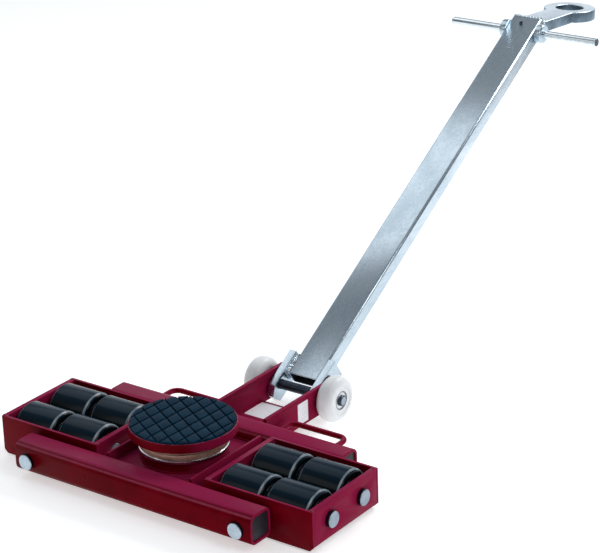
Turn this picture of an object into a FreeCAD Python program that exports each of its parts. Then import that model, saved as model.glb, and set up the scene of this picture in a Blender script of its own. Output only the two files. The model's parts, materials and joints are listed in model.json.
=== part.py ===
import FreeCAD, Part
import math
import os

import Sketcher
from FreeCAD import Placement, Rotation, Vector

# Steerable load skate: two four-roller carriages rock on stub pins between two cross beams,
# with a turntable in the middle and a hinged drawbar on two support wheels behind.
# Millimetres. Origin on the floor under the turntable axis, +X along the beams,
# +Y towards the drawbar, +Z up.

os.makedirs("parts", exist_ok=True)
doc = FreeCAD.newDocument("load_skate")
sheet = doc.addObject("Spreadsheet::Sheet", "sizes")
nextRow = 1
nodes = []


class Size:
    # A length or angle that knows its sheet formula and its present value.
    def __init__(self, text, value):
        self.text = text
        self.value = float(value)

    def join(self, other, sign, value):
        return Size(f"({self.text} {sign} {asSize(other).text})", value)

    def __add__(self, other):
        return self.join(other, "+", self.value + asSize(other).value)

    def __sub__(self, other):
        return self.join(other, "-", self.value - asSize(other).value)

    def __mul__(self, other):
        return self.join(other, "*", self.value * asSize(other).value)

    def __truediv__(self, other):
        return self.join(other, "/", self.value / asSize(other).value)

    def __neg__(self):
        return Size(f"(0 - {self.text})", -self.value)

    def __radd__(self, other):
        return asSize(other) + self

    def __rsub__(self, other):
        return asSize(other) - self

    def __rmul__(self, other):
        return asSize(other) * self


def asSize(thing):
    return thing if isinstance(thing, Size) else Size(repr(float(thing)), thing)


def sine(angle):
    return Size(f"sin({angle.text} * 1 deg)", math.sin(math.radians(angle.value)))


def cosine(angle):
    return Size(f"cos({angle.text} * 1 deg)", math.cos(math.radians(angle.value)))


def size(alias, value):
    # One driving dimension: a plain number in the sheet, under its own name.
    global nextRow
    cell = f"B{nextRow}"
    sheet.set(f"A{nextRow}", alias)
    sheet.set(cell, str(value))
    sheet.setAlias(cell, alias)
    nextRow += 1
    return Size(f"sizes.{alias}", value)


# Fits
runningGap = size("running_gap", 0.05)      # radial, shafts and pins in their bores
sideGap = size("side_gap", 0.3)             # between faces that turn past each other
pressGap = size("press_gap", 0.02)          # radial, pins and rings that are pressed or welded in

# Carriages and rollers
carriageX = size("carriage_offset", 224)    # carriage centre from the turntable axis
carriageLength = size("carriage_length", 217)
carriageDepth = size("carriage_depth", 186)
plateHeight = size("plate_height", 71)
groundGap = size("ground_gap", 3)           # floor to the side plates
sidePlate = size("side_plate", 5)
endPlate = size("end_plate", 10)
endPlateRise = size("end_plate_rise", 7)    # end plates stop short of the side plates' lower edge
plateCorner = size("plate_corner", 7)
rollerRadius = size("roller_radius", 42.5)
rollerLength = size("roller_length", 85)
rollerChamfer = size("roller_chamfer", 5)
rollerGap = size("roller_gap", 3)           # front roller to rear roller
axleGap = size("axle_gap", 11)              # between the two rollers of an axle
axleRadius = size("axle_radius", 14)
axleHead = size("axle_head", 8)             # how far the axle stands out of the outer end plate
bearingRadius = size("bearing_radius", 29)
bearingWidth = size("bearing_width", 16)
bearingInset = size("bearing_inset", 2)
rollerShoulder = size("roller_shoulder", 4)  # step that a roller bearing seats against
spacerRadius = size("spacer_radius", 18)

# Cross beams
beamSide = size("beam_side", 54)
beamWall = size("beam_wall", 6)
beamCorner = size("beam_corner", 14)
beamOverhang = size("beam_overhang", 28)    # pivot pin's middle to the beam's end
beamBottom = size("beam_bottom", 13.5)
beamGap = size("beam_gap", 2.5)             # carriage to beam
plugDepth = size("plug_depth", 10)
plugInset = size("plug_inset", 2)
pivotRadius = size("pivot_radius", 14)
pivotHeight = size("pivot_height", 38)
pivotHead = size("pivot_head", 7)

# Middle frame and turntable
ribX = size("rib_offset", 91.5)             # outer face of a rib
ribThickness = size("rib_thickness", 5)
plateTop = size("plate_top", 49)
plateThickness = size("plate_thickness", 12)
hubRadius = size("hub_radius", 73)
hubTop = size("hub_top", 66.5)
seatRadius = size("seat_radius", 78)
seatTop = size("seat_top", 74.5)
raceRadius = size("race_radius", 77)
raceBore = size("race_bore", 50)
lowerRace = size("lower_race", 9.5)
upperRace = size("upper_race", 8)
raceGap = size("race_gap", 6)
ballRadius = size("ball_radius", 6)
ballCircle = size("ball_circle", 69)
cageThickness = size("cage_thickness", 2.4)
cageMargin = size("cage_margin", 7.8)
cageGap = size("cage_gap", 0.15)            # radial, ball to cage
discRadius = size("disc_radius", 93)
discBottom = size("disc_bottom", 95)
discTop = size("disc_top", 111.5)
loadHeight = size("load_height", 115)
padRadius = size("pad_radius", 91)
padThickness = size("pad_thickness", 7)
boltRadius = size("bolt_radius", 10)
boltHeadRadius = size("bolt_head_radius", 17)
webThickness = size("web_thickness", 3)     # disc left under the bolt head
washerRadius = size("washer_radius", 26)
washerThickness = size("washer_thickness", 2)
boltHeadHeight = size("bolt_head_height", 4)
pocketGap = size("pocket_gap", 2)           # disc clear of the king bolt and its washer
ballCount = 24

# Drawbar fork
armX = size("arm_outer", 62)                # outer face of an arm from the middle
armThickness = size("arm_thickness", 8)
armEnd = size("arm_end", 362)
bridgeTop = size("bridge_top", 20.3)
bridgeThickness = size("bridge_thickness", 6)
bridgeEnd = size("bridge_end", 290)
handleRod = size("handle_rod", 5)
handleNear = size("handle_near", 72)
handleFar = size("handle_far", 190)
handleReach = size("handle_reach", 60)
handleBend = size("handle_bend", 16)

# Hinge axle and support wheels
hingeY = size("hinge_back", 326.5)
hingeZ = size("hinge_up", 42.5)
hingeRadius = size("hinge_radius", 9)
shaftStep = size("shaft_step", 1.5)          # axle thinner where the wheels run
axleEnd = size("axle_end", 101.5)
wheelRadius = size("wheel_radius", 42.2)
wheelWidth = size("wheel_width", 33)
wheelRound = size("wheel_round", 11)
wheelGap = size("wheel_gap", 2.5)           # arm to wheel
wheelBearingRadius = size("wheel_bearing_radius", 17.5)
wheelBearingWidth = size("wheel_bearing_width", 11)
wheelBearingInset = size("wheel_bearing_inset", 2)
wheelShoulder = size("wheel_shoulder", 3)
hingeSpacerWall = size("hinge_spacer_wall", 6)
clipThickness = size("clip_thickness", 1.2)
clipRadius = size("clip_radius", 11)
clipGroove = size("clip_groove", 0.6)

# Drawbar, drawn along +Y from the hinge and then swung up
liftAngle = size("lift_angle", 31.2)
tubeWidth = size("tube_width", 66)
tubeDepth = size("tube_depth", 30)
tubeWall = size("tube_wall", 3)
tubeCorner = size("tube_corner", 5)
tubeStart = size("tube_start", 23.5)
tubeEnd = size("tube_end", 950)
tubeDrop = size("tube_drop", 7)             # tube centre below the hinge line
capThickness = size("cap_thickness", 4)
capMargin = size("cap_margin", 1)           # cap smaller than the tube all round, for its weld
cheekThickness = size("cheek_thickness", 14)
cheekOffset = size("cheek_offset", 3)       # weld pad between tube and cheek
cheekFront = size("cheek_front", 16)        # cheek above and below the hinge line
cheekBack = size("cheek_back", 24)
cheekEnd = size("cheek_end", 66)
cheekNose = size("cheek_nose", 31)          # cheek reaches this far past the hinge
cheekNoseCut = size("cheek_nose_cut", 16)   # its corners cut off, front and back
cheekHeelCut = size("cheek_heel_cut", 9)
barRadius = size("bar_radius", 8)
barLength = size("bar_length", 330)
barPlace = size("bar_place", 924)
collarRadius = size("collar_radius", 19)
collarLength = size("collar_length", 14)
collarBevel = size("collar_bevel", 2)
eyeAngle = size("eye_angle", 35)            # eye plate against the drawbar
eyeThickness = size("eye_thickness", 22)
eyeRadius = size("eye_radius", 52.5)
eyeHole = size("eye_hole", 28.5)
neckLength = size("neck_length", 159.5)
neckWidth = size("neck_width", 60)
neckFall = size("neck_fall", 6)             # eye plate's top at the cap, below the hinge line

# Derived places
beamLength = 2 * (carriageX + beamOverhang)
wheelShaft = hingeRadius - shaftStep
beamNear = carriageDepth / 2 + beamGap
beamFar = beamNear + beamSide
beamTop = beamBottom + beamSide
beamMiddle = beamBottom + beamSide / 2
axleY = rollerRadius + rollerGap / 2
innerLength = carriageLength / 2 - endPlate
rollerX = axleGap / 2 + rollerLength / 2
tubeMiddle = -tubeDrop
cheekInner = tubeWidth / 2 + cheekOffset
cheekOuter = cheekInner + cheekThickness
armInner = armX - armThickness
wheelX = armX + wheelGap
raceTop = seatTop + lowerRace
ballHeight = raceTop + raceGap / 2
tilt = Rotation(Vector(1, 0, 0), liftAngle.value)


def keep(thing, label):
    thing.Label = label
    nodes.append(thing)
    return thing


def body(label):
    thing = doc.addObject("PartDesign::Body", label)
    return keep(thing, label)


def sketch(owner, role, offset=0):
    # A sketch on one of the body's own origin planes, moved along its normal.
    drawing = owner.newObject("Sketcher::SketchObject", owner.Name + "_sketch")
    plane = [p for p in owner.Origin.OriginFeatures if p.Role == role][0]
    drawing.AttachmentSupport = (plane, [""])
    drawing.MapMode = "FlatFace"
    drawing.setExpression("AttachmentOffset.Base.z", asSize(offset).text)
    return drawing


def fix(drawing, kind, value, *where):
    # A driving constraint whose value comes from the sheet.
    value = asSize(value)
    number = drawing.addConstraint(Sketcher.Constraint(kind, *where, value.value))
    drawing.setExpression(f"Constraints[{number}]", value.text)


def outline(drawing, corners):
    corners = [(asSize(x), asSize(y)) for x, y in corners]
    ends = [Vector(x.value, y.value, 0) for x, y in corners]
    first = drawing.GeometryCount
    for i in range(len(ends)):
        drawing.addGeometry(Part.LineSegment(ends[i - 1], ends[i]), False)
    for i in range(len(ends)):
        line = first + i
        following = first + (i + 1) % len(ends)
        drawing.addConstraint(Sketcher.Constraint("Coincident", line, 2, following, 1))
    for i, (x, y) in enumerate(corners):
        fix(drawing, "DistanceX", x, -1, 1, first + i, 2)
        fix(drawing, "DistanceY", y, -1, 1, first + i, 2)


def rectangle(drawing, left, bottom, right, top):
    outline(drawing, [(left, bottom), (right, bottom), (right, top), (left, top)])


def circle(drawing, x, y, radius):
    x, y, radius = asSize(x), asSize(y), asSize(radius)
    shape = Part.Circle(Vector(x.value, y.value, 0), Vector(0, 0, 1), radius.value)
    number = drawing.addGeometry(shape, False)
    fix(drawing, "DistanceX", x, -1, 1, number, 3)
    fix(drawing, "DistanceY", y, -1, 1, number, 3)
    fix(drawing, "Radius", radius, number)


def pad(owner, drawing, length, back=False):
    feature = owner.newObject("PartDesign::Pad", owner.Name + "_pad")
    feature.Profile = drawing
    feature.setExpression("Length", asSize(length).text)
    feature.Reversed = back
    return feature


def pocket(owner, drawing, length, back=False, both=False):
    feature = owner.newObject("PartDesign::Pocket", owner.Name + "_pocket")
    feature.Profile = drawing
    feature.setExpression("Length", asSize(length).text)
    feature.Reversed = back
    feature.Midplane = both
    return feature


def spin(owner, drawing, axis="V_Axis"):
    feature = owner.newObject("PartDesign::Revolution", owner.Name + "_turned")
    feature.Profile = drawing
    feature.ReferenceAxis = (drawing, [axis])
    feature.Angle = 360
    return feature


def soften(owner, base, radius, test, kind="Fillet"):
    # Round or bevel the edges of the base that the test picks.
    doc.recompute()
    names = [f"Edge{i + 1}" for i, edge in enumerate(base.Shape.Edges) if test(edge)]
    feature = owner.newObject(f"PartDesign::{kind}", owner.Name + "_edges")
    feature.Base = (base, names)
    feature.setExpression("Radius" if kind == "Fillet" else "Size", asSize(radius).text)
    return feature


def alongAxis(edge, direction):
    if not isinstance(edge.Curve, Part.Line):
        return False
    return abs(abs(edge.tangentAt(edge.FirstParameter).dot(direction)) - 1) < 1e-6


def place(thing, x=0, y=0, z=0):
    for axis, value in zip("xyz", (x, y, z)):
        thing.setExpression(f"Placement.Base.{axis}", asSize(value).text)


def swing(thing):
    # Carry a drawbar piece from its own frame to the hinge, at the resting angle.
    thing.Placement = Placement(Vector(0, 0, 0), tilt)
    thing.setExpression("Placement.Rotation.Angle", liftAngle.text)
    place(thing, 0, hingeY, hingeZ)


def rod(name, radius, length, axis, x, y, z):
    # A round bar starting at a point and running along +X, +Y or +Z.
    bar = doc.addObject("Part::Cylinder", name)
    turns = {"x": Rotation(Vector(0, 1, 0), 90), "y": Rotation(Vector(1, 0, 0), -90), "z": Rotation()}
    bar.Placement = Placement(Vector(0, 0, 0), turns[axis])
    bar.setExpression("Radius", asSize(radius).text)
    bar.setExpression("Height", asSize(length).text)
    place(bar, x, y, z)
    return bar


def tubeOf(name, outer, inner, length, axis, x, y, z):
    cut = doc.addObject("Part::Cut", name)
    cut.Base = rod(name + "_outer", outer, length, axis, x, y, z)
    cut.Tool = rod(name + "_bore", inner, length, axis, x, y, z)
    return cut


def group(label, pieces):
    # Several equal loose pieces that share one node.
    bundle = doc.addObject("Part::Compound", label)
    bundle.Links = pieces
    return keep(bundle, label)


def turned(label, corners, x=0, y=0, z=0, axis="V_Axis"):
    thing = body(label)
    drawing = sketch(thing, "XZ_Plane")
    outline(drawing, corners)
    spin(thing, drawing, axis)
    place(thing, x, y, z)
    return thing


# ---- cross beams ----

def beam(label, nearFace):
    thing = body(label)
    drawing = sketch(thing, "YZ_Plane", -beamLength / 2)
    rectangle(drawing, nearFace, beamBottom, nearFace + beamSide, beamTop)
    solid = pad(thing, drawing, beamLength)
    soften(thing, solid, beamCorner, lambda e: alongAxis(e, Vector(1, 0, 0)))
    doc.recompute()
    hollow = sketch(thing, "YZ_Plane", -beamLength / 2)
    rectangle(hollow, nearFace + beamWall, beamBottom + beamWall,
              nearFace + beamSide - beamWall, beamTop - beamWall)
    inside = pocket(thing, hollow, beamLength, back=True)
    inner = beamSide.value / 2 - beamWall.value
    middle = Vector(0, nearFace.value + beamSide.value / 2, beamMiddle.value)

    def innerCorner(edge):
        if not alongAxis(edge, Vector(1, 0, 0)):
            return False
        away = edge.CenterOfMass - middle
        return abs(abs(away.y) - inner) < 1e-3 and abs(abs(away.z) - inner) < 1e-3

    soften(thing, inside, beamCorner - beamWall, innerCorner)
    holes = sketch(thing, "XZ_Plane", -nearFace)
    for side in (-1, 1):
        circle(holes, side * carriageX, pivotHeight, pivotRadius + pressGap)
    pocket(thing, holes, beamSide)


beam("front_beam", -beamFar)
beam("rear_beam", beamNear)


def plug(name, side, nearFace):
    # A plastic plug that fills the beam's end, set in by a step.
    block = doc.addObject("Part::Box", name + "_block")
    block.setExpression("Length", plugDepth.text)
    block.setExpression("Width", (beamSide - 2 * beamWall).text)
    block.setExpression("Height", (beamSide - 2 * beamWall).text)
    outer = beamLength / 2 - plugInset
    start = -outer if side < 0 else outer - plugDepth
    place(block, start, nearFace + beamWall, beamBottom + beamWall)
    doc.recompute()
    rounded = doc.addObject("Part::Fillet", name)
    rounded.Base = block
    radius = beamCorner.value - beamWall.value
    rounded.Edges = [(i + 1, radius, radius) for i, edge in enumerate(block.Shape.Edges)
                     if alongAxis(edge, Vector(1, 0, 0))]
    return rounded


plugs = []
for side in (-1, 1):
    for row, nearFace in (("front", -beamFar), ("rear", beamNear)):
        plugs.append(plug(f"plug_{row}_{'left' if side < 0 else 'right'}", side, nearFace))
group("beam_end_plugs", plugs)

pins = []
pinLength = pivotHead + beamSide + beamGap + sidePlate
for side in (-1, 1):
    name = "left" if side < 0 else "right"
    pins.append(rod(f"front_pin_{name}", pivotRadius, pinLength, "y",
                    side * carriageX, -(beamFar + pivotHead), pivotHeight))
    pins.append(rod(f"rear_pin_{name}", pivotRadius, pinLength, "y",
                    side * carriageX, beamNear - beamGap - sidePlate, pivotHeight))
group("pivot_pins", pins)


# ---- carriages ----

def sidePlates(label, x):
    # Front and rear plates of a carriage, with bevelled lower corners and a pivot hole.
    plates = []
    half = carriageLength / 2
    for row, start in (("front", -(carriageDepth / 2)), ("rear", carriageDepth / 2 - sidePlate)):
        thing = doc.addObject("PartDesign::Body", f"{label}_{row}")
        drawing = sketch(thing, "XZ_Plane", -start)
        top = groundGap + plateHeight
        outline(drawing, [(x - half + plateCorner, groundGap), (x + half - plateCorner, groundGap),
                          (x + half, groundGap + plateCorner), (x + half, top),
                          (x - half, top), (x - half, groundGap + plateCorner)])
        circle(drawing, x, pivotHeight, pivotRadius + runningGap)
        pad(thing, drawing, sidePlate, back=True)
        plates.append(thing)
    group(label, plates)


def endPlates(label, x):
    # Inner and outer plates that carry the roller axles.
    plates = []
    inside = carriageDepth / 2 - sidePlate
    for end in (-1, 1):
        thing = doc.addObject("PartDesign::Body", f"{label}_{'a' if end < 0 else 'b'}")
        start = x + end * (carriageLength / 2) - (0 if end < 0 else 1) * endPlate
        drawing = sketch(thing, "YZ_Plane", start)
        rectangle(drawing, -inside, groundGap + endPlateRise, inside, groundGap + plateHeight)
        for row in (-1, 1):
            circle(drawing, row * axleY, rollerRadius, axleRadius + runningGap)
        pad(thing, drawing, endPlate)
        plates.append(thing)
    group(label, plates)


def axles(label, x, side):
    bars = []
    length = carriageLength + axleHead
    start = x - carriageLength / 2 - (axleHead if side < 0 else 0)
    for row, y in (("front", -axleY), ("rear", axleY)):
        bars.append(rod(f"{label}_{row}", axleRadius, length, "x", start, y, rollerRadius))
    group(label, bars)


def spacers(label, x):
    # Tubes that keep the rollers in place along each axle.
    rings = []
    endGap = innerLength - axleGap / 2 - rollerLength
    endLength = endGap + bearingInset - sideGap
    midLength = axleGap + 2 * bearingInset - 2 * sideGap
    places = (("a", x - innerLength, endLength), ("b", x - midLength / 2, midLength),
              ("c", x + innerLength - endLength, endLength))
    for row, y in (("front", -axleY), ("rear", axleY)):
        for tag, start, length in places:
            rings.append(tubeOf(f"{label}_{row}_{tag}", spacerRadius, axleRadius + runningGap, length,
                                "x", start, y, rollerRadius))
    group(label, rings)


def roller(label, x, y):
    # A solid plastic roller, bored for a ball bearing at each end.
    half = rollerLength / 2
    seat = half - bearingInset - bearingWidth
    throat = bearingRadius - rollerShoulder
    turned(label, [(-half, bearingRadius), (-half, rollerRadius - rollerChamfer),
                   (-half + rollerChamfer, rollerRadius), (half - rollerChamfer, rollerRadius),
                   (half, rollerRadius - rollerChamfer), (half, bearingRadius),
                   (seat, bearingRadius), (seat, throat), (-seat, throat), (-seat, bearingRadius)],
           x, y, rollerRadius, "H_Axis")


def bearings(label, x, y, z, reach, outer, inner, width, inset):
    # Two ball bearings, one set in at each end of a roller or wheel.
    rings = []
    for tag, start in (("a", x - reach + inset), ("b", x + reach - inset - width)):
        rings.append(tubeOf(f"{label}_{tag}", outer, inner, width, "x", start, y, z))
    group(label, rings)


for side, hand in ((-1, "left"), (1, "right")):
    middle = side * carriageX
    sidePlates(f"{hand}_side_plates", middle)
    endPlates(f"{hand}_end_plates", middle)
    axles(f"{hand}_roller_axles", middle, side)
    spacers(f"{hand}_axle_spacers", middle)
    for row, rowY in (("front", -axleY), ("rear", axleY)):
        for spot, offset in (("inner", -side * rollerX), ("outer", side * rollerX)):
            roller(f"roller_{hand}_{row}_{spot}", middle + offset, rowY)
            bearings(f"bearings_{hand}_{row}_{spot}", middle + offset, rowY, rollerRadius,
                     rollerLength / 2, bearingRadius, axleRadius + runningGap, bearingWidth, bearingInset)


# ---- middle frame ----

plate = body("centre_plate")
drawing = sketch(plate, "XY_Plane", plateTop - plateThickness)
plateX = ribX - ribThickness
rectangle(drawing, -plateX, -beamNear, plateX, beamNear)
circle(drawing, 0, 0, boltRadius + pressGap)
pad(plate, drawing, plateThickness)

for side, hand in ((-1, "left"), (1, "right")):
    rib = body(f"{hand}_rib")
    drawing = sketch(rib, "YZ_Plane", -ribX if side < 0 else ribX - ribThickness)
    rectangle(drawing, -beamNear, plateTop - plateThickness - beamWall, beamNear, beamTop)
    pad(rib, drawing, ribThickness)


# ---- turntable bearing, fixed half ----

boltHole = boltRadius + pressGap
turned("turntable_hub", [(boltHole, plateTop), (hubRadius, plateTop),
                         (hubRadius, hubTop), (boltHole, hubTop)])
turned("bearing_seat", [(boltHole, hubTop), (seatRadius, hubTop),
                        (seatRadius, seatTop), (boltHole, seatTop)])


def race(label, bottom, height):
    # A bearing ring with a ball groove in the face that the balls run on.
    thing = body(label)
    drawing = sketch(thing, "XZ_Plane")
    rectangle(drawing, raceBore, bottom, raceRadius, bottom + height)
    spin(thing, drawing)
    doc.recompute()
    cutter = sketch(thing, "XZ_Plane")
    circle(cutter, ballCircle, ballHeight, ballRadius + runningGap)
    groove = thing.newObject("PartDesign::Groove", label + "_groove")
    groove.Profile = cutter
    groove.ReferenceAxis = (cutter, ["V_Axis"])
    groove.Angle = 360


race("lower_race", seatTop, lowerRace)

balls = []
for i in range(ballCount):
    ball = doc.addObject("Part::Sphere", f"ball_{i + 1}")
    ball.setExpression("Radius", ballRadius.text)
    angle = f"{360 * i / ballCount} deg"
    ball.setExpression("Placement.Base.x", f"{ballCircle.text} * cos({angle})")
    ball.setExpression("Placement.Base.y", f"{ballCircle.text} * sin({angle})")
    ball.setExpression("Placement.Base.z", ballHeight.text)
    balls.append(ball)
group("bearing_balls", balls)

cage = body("ball_cage")
drawing = sketch(cage, "XY_Plane", ballHeight - cageThickness / 2)
circle(drawing, 0, 0, ballCircle + cageMargin)
circle(drawing, 0, 0, ballCircle - cageMargin)
ring = pad(cage, drawing, cageThickness)
doc.recompute()
drawing = sketch(cage, "XY_Plane", ballHeight - cageThickness / 2)
circle(drawing, ballCircle, 0, ballRadius + cageGap)
hole = pocket(cage, drawing, cageThickness, back=True)
doc.recompute()
pattern = cage.newObject("PartDesign::PolarPattern", "ball_cage_pattern")
pattern.Originals = [hole]
pattern.Axis = ([o for o in cage.Origin.OriginFeatures if o.Role == "Z_Axis"][0], [""])
pattern.Angle = 360
pattern.Occurrences = ballCount
cage.Tip = pattern


# ---- turntable, turning half ----

race("upper_race", raceTop + raceGap, upperRace)

recessBottom = loadHeight - padThickness
webBottom = raceTop + raceGap + upperRace
webTop = webBottom + webThickness
headPocket = washerRadius + pocketGap
discBore = boltRadius + pocketGap
raceSeat = raceRadius + pressGap
padSeat = padRadius + pressGap
turned("turntable_disc", [(discBore, webBottom), (raceSeat, webBottom), (raceSeat, discBottom),
                          (discRadius, discBottom), (discRadius, discTop), (padSeat, discTop),
                          (padSeat, recessBottom), (headPocket, recessBottom),
                          (headPocket, webTop), (discBore, webTop)])
turned("turntable_pad", [(0, recessBottom), (padRadius, recessBottom),
                         (padRadius, loadHeight), (0, loadHeight)])

washerBottom = webTop + sideGap
washerTop = washerBottom + washerThickness
boltTop = washerTop + boltHeadHeight
turned("king_bolt_washer", [(boltHole, washerBottom), (washerRadius, washerBottom),
                            (washerRadius, washerTop), (boltHole, washerTop)])
turned("king_bolt", [(0, plateTop - plateThickness), (boltRadius, plateTop - plateThickness),
                     (boltRadius, washerTop), (boltHeadRadius, washerTop),
                     (boltHeadRadius, boltTop), (0, boltTop)])


# ---- drawbar fork ----

for side, hand in ((-1, "left"), (1, "right")):
    arm = body(f"{hand}_arm")
    drawing = sketch(arm, "YZ_Plane", -armX if side < 0 else armX - armThickness)
    rectangle(drawing, beamFar, beamBottom, armEnd, beamTop)
    circle(drawing, hingeY, hingeZ, hingeRadius + pressGap)
    pad(arm, drawing, armThickness)

bridge = body("bridge_plate")
drawing = sketch(bridge, "XY_Plane", bridgeTop - bridgeThickness)
rectangle(drawing, -armInner, beamFar, armInner, bridgeEnd)
pad(bridge, drawing, bridgeThickness)


def carryHandle(label, side):
    # A round bar bent into a loop behind the rear beam.
    thing = body(label)
    path = sketch(thing, "XY_Plane", beamMiddle)
    near = side * handleNear
    far = side * handleFar
    back = beamFar + handleReach
    corner = back - handleBend
    inNear = near + side * handleBend
    inFar = far - side * handleBend
    ends = [(near, beamFar), (near, corner), (inNear, back), (inFar, back), (far, corner), (far, beamFar)]
    points = [Vector(asSize(x).value, asSize(y).value, 0) for x, y in ends]
    for a, b in ((0, 1), (2, 3), (4, 5)):
        path.addGeometry(Part.LineSegment(points[a], points[b]), False)
    for centre, a, b in (((inNear, corner), 1, 2), ((inFar, corner), 3, 4)):
        middle = Vector(centre[0].value, centre[1].value, 0)
        chord = (points[a] + points[b]) / 2 - middle
        top = middle + chord.normalize() * handleBend.value
        path.addGeometry(Part.Arc(points[a], top, points[b]), False)
    for line, start, stop in ((0, 0, 1), (1, 2, 3), (2, 4, 5)):
        for end, index in ((1, start), (2, stop)):
            fix(path, "DistanceX", ends[index][0], -1, 1, line, end)
            fix(path, "DistanceY", ends[index][1], -1, 1, line, end)
    for arc, first, second in ((3, 0, 1), (4, 1, 2)):
        for end in (1, 2):
            spot = path.getPoint(arc, end)
            line = first if spot.distanceToPoint(path.getPoint(first, 2)) < 1e-6 else second
            lineEnd = 2 if line == first else 1
            path.addConstraint(Sketcher.Constraint("Coincident", arc, end, line, lineEnd))
        fix(path, "Radius", handleBend, arc)
    section = sketch(thing, "XZ_Plane", -beamFar)
    circle(section, near, beamMiddle, handleRod)
    pipe = thing.newObject("PartDesign::AdditivePipe", label + "_pipe")
    pipe.Profile = section
    pipe.Spine = (path, [])


carryHandle("left_carry_handle", -1)
carryHandle("right_carry_handle", 1)


# ---- hinge axle and support wheels ----

grooveIn = wheelX + wheelWidth + sideGap
grooveOut = grooveIn + clipThickness
grooveRadius = wheelShaft - clipGroove
shaft = body("hinge_axle")
drawing = sketch(shaft, "XZ_Plane")
steps = [(armX, hingeRadius), (armX, wheelShaft), (grooveIn, wheelShaft), (grooveIn, grooveRadius),
         (grooveOut, grooveRadius), (grooveOut, wheelShaft), (axleEnd, wheelShaft)]
mirrored = [(-x, radius) for x, radius in reversed(steps)]
outline(drawing, [(-axleEnd, 0)] + mirrored + steps + [(axleEnd, 0)])
spin(shaft, drawing, "H_Axis")
place(shaft, 0, hingeY, hingeZ)

clips = []
hingeSpacers = []
for side, hand in ((-1, "left"), (1, "right")):
    start = -grooveOut if side < 0 else grooveIn
    clips.append(tubeOf(f"clip_{hand}", clipRadius, grooveRadius + pressGap, clipThickness,
                        "x", start, hingeY, hingeZ))
    length = armInner - cheekOuter - sideGap
    start = -armInner if side < 0 else cheekOuter + sideGap
    hingeSpacers.append(tubeOf(f"hinge_spacer_{hand}", hingeRadius + hingeSpacerWall,
                               hingeRadius + runningGap, length, "x", start, hingeY, hingeZ))
group("axle_circlips", clips)
group("hinge_spacers", hingeSpacers)

for side, hand in ((-1, "left"), (1, "right")):
    wheel = body(f"{hand}_support_wheel")
    half = wheelWidth / 2
    seat = half - wheelBearingInset - wheelBearingWidth
    throat = wheelBearingRadius - wheelShoulder
    drawing = sketch(wheel, "XZ_Plane")
    outline(drawing, [(-half, wheelBearingRadius), (-half, wheelRadius), (half, wheelRadius),
                      (half, wheelBearingRadius), (seat, wheelBearingRadius), (seat, throat),
                      (-seat, throat), (-seat, wheelBearingRadius)])
    solid = spin(wheel, drawing, "H_Axis")
    soften(wheel, solid, wheelRound,
           lambda e: isinstance(e.Curve, Part.Circle) and abs(e.Curve.Radius - wheelRadius.value) < 1e-3)
    middle = side * (wheelX + half)
    place(wheel, middle, hingeY, hingeZ)
    bearings(f"{hand}_wheel_bearings", middle, hingeY, hingeZ, half, wheelBearingRadius,
             wheelShaft + runningGap, wheelBearingWidth, wheelBearingInset)


# ---- drawbar ----

bar = body("drawbar_tube")
drawing = sketch(bar, "XZ_Plane", -tubeStart)
halfTube = tubeWidth / 2
tubeLow = tubeMiddle - tubeDepth / 2
tubeHigh = tubeMiddle + tubeDepth / 2
rectangle(drawing, -halfTube, tubeLow, halfTube, tubeHigh)
solid = pad(bar, drawing, tubeEnd - tubeStart, back=True)
soften(bar, solid, tubeCorner, lambda e: alongAxis(e, Vector(0, 1, 0)))
doc.recompute()
drawing = sketch(bar, "XZ_Plane", -tubeStart)
rectangle(drawing, -halfTube + tubeWall, tubeLow + tubeWall, halfTube - tubeWall, tubeHigh - tubeWall)
pocket(bar, drawing, tubeEnd - tubeStart)
drawing = sketch(bar, "YZ_Plane", 0)
circle(drawing, barPlace, tubeMiddle, barRadius + pressGap)
pocket(bar, drawing, 2 * tubeWidth, both=True)
swing(bar)

cap = body("drawbar_end_cap")
drawing = sketch(cap, "XZ_Plane", -tubeEnd)
rectangle(drawing, capMargin - halfTube, tubeLow + capMargin, halfTube - capMargin, tubeHigh - capMargin)
pad(cap, drawing, capThickness, back=True)
swing(cap)

for side, hand in ((-1, "left"), (1, "right")):
    cheek = body(f"{hand}_cheek")
    start = -cheekOuter if side < 0 else cheekInner
    drawing = sketch(cheek, "YZ_Plane", start)
    outline(drawing, [(cheekEnd, cheekFront), (cheekNoseCut - cheekNose, cheekFront), (-cheekNose, 0),
                      (cheekHeelCut - cheekNose, -cheekBack), (cheekEnd, -cheekBack)])
    pad(cheek, drawing, cheekThickness)
    drawing = sketch(cheek, "YZ_Plane", -cheekInner if side < 0 else halfTube)
    rectangle(drawing, tubeStart + 3, tubeLow + 4, cheekEnd - 3, tubeHigh - 4)
    pad(cheek, drawing, cheekOffset)
    doc.recompute()
    drawing = sketch(cheek, "YZ_Plane", start)
    circle(drawing, 0, 0, hingeRadius + runningGap)
    pocket(cheek, drawing, cheekThickness, back=True)
    swing(cheek)

crossBar = body("t_handle_bar")
drawing = sketch(crossBar, "YZ_Plane", -barLength / 2)
circle(drawing, barPlace, tubeMiddle, barRadius)
pad(crossBar, drawing, barLength)
swing(crossBar)

collars = []
for side, hand in ((-1, "left"), (1, "right")):
    collar = doc.addObject("PartDesign::Body", f"collar_{hand}")
    drawing = sketch(collar, "YZ_Plane", -halfTube - collarLength if side < 0 else halfTube)
    circle(drawing, barPlace, tubeMiddle, collarRadius)
    circle(drawing, barPlace, tubeMiddle, barRadius + pressGap)
    solid = pad(collar, drawing, collarLength)
    soften(collar, solid, collarBevel,
           lambda e: isinstance(e.Curve, Part.Circle) and abs(e.Curve.Radius - collarRadius.value) < 1e-3,
           "Chamfer")
    swing(collar)
    collars.append(collar)
group("handle_collars", collars)

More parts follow.
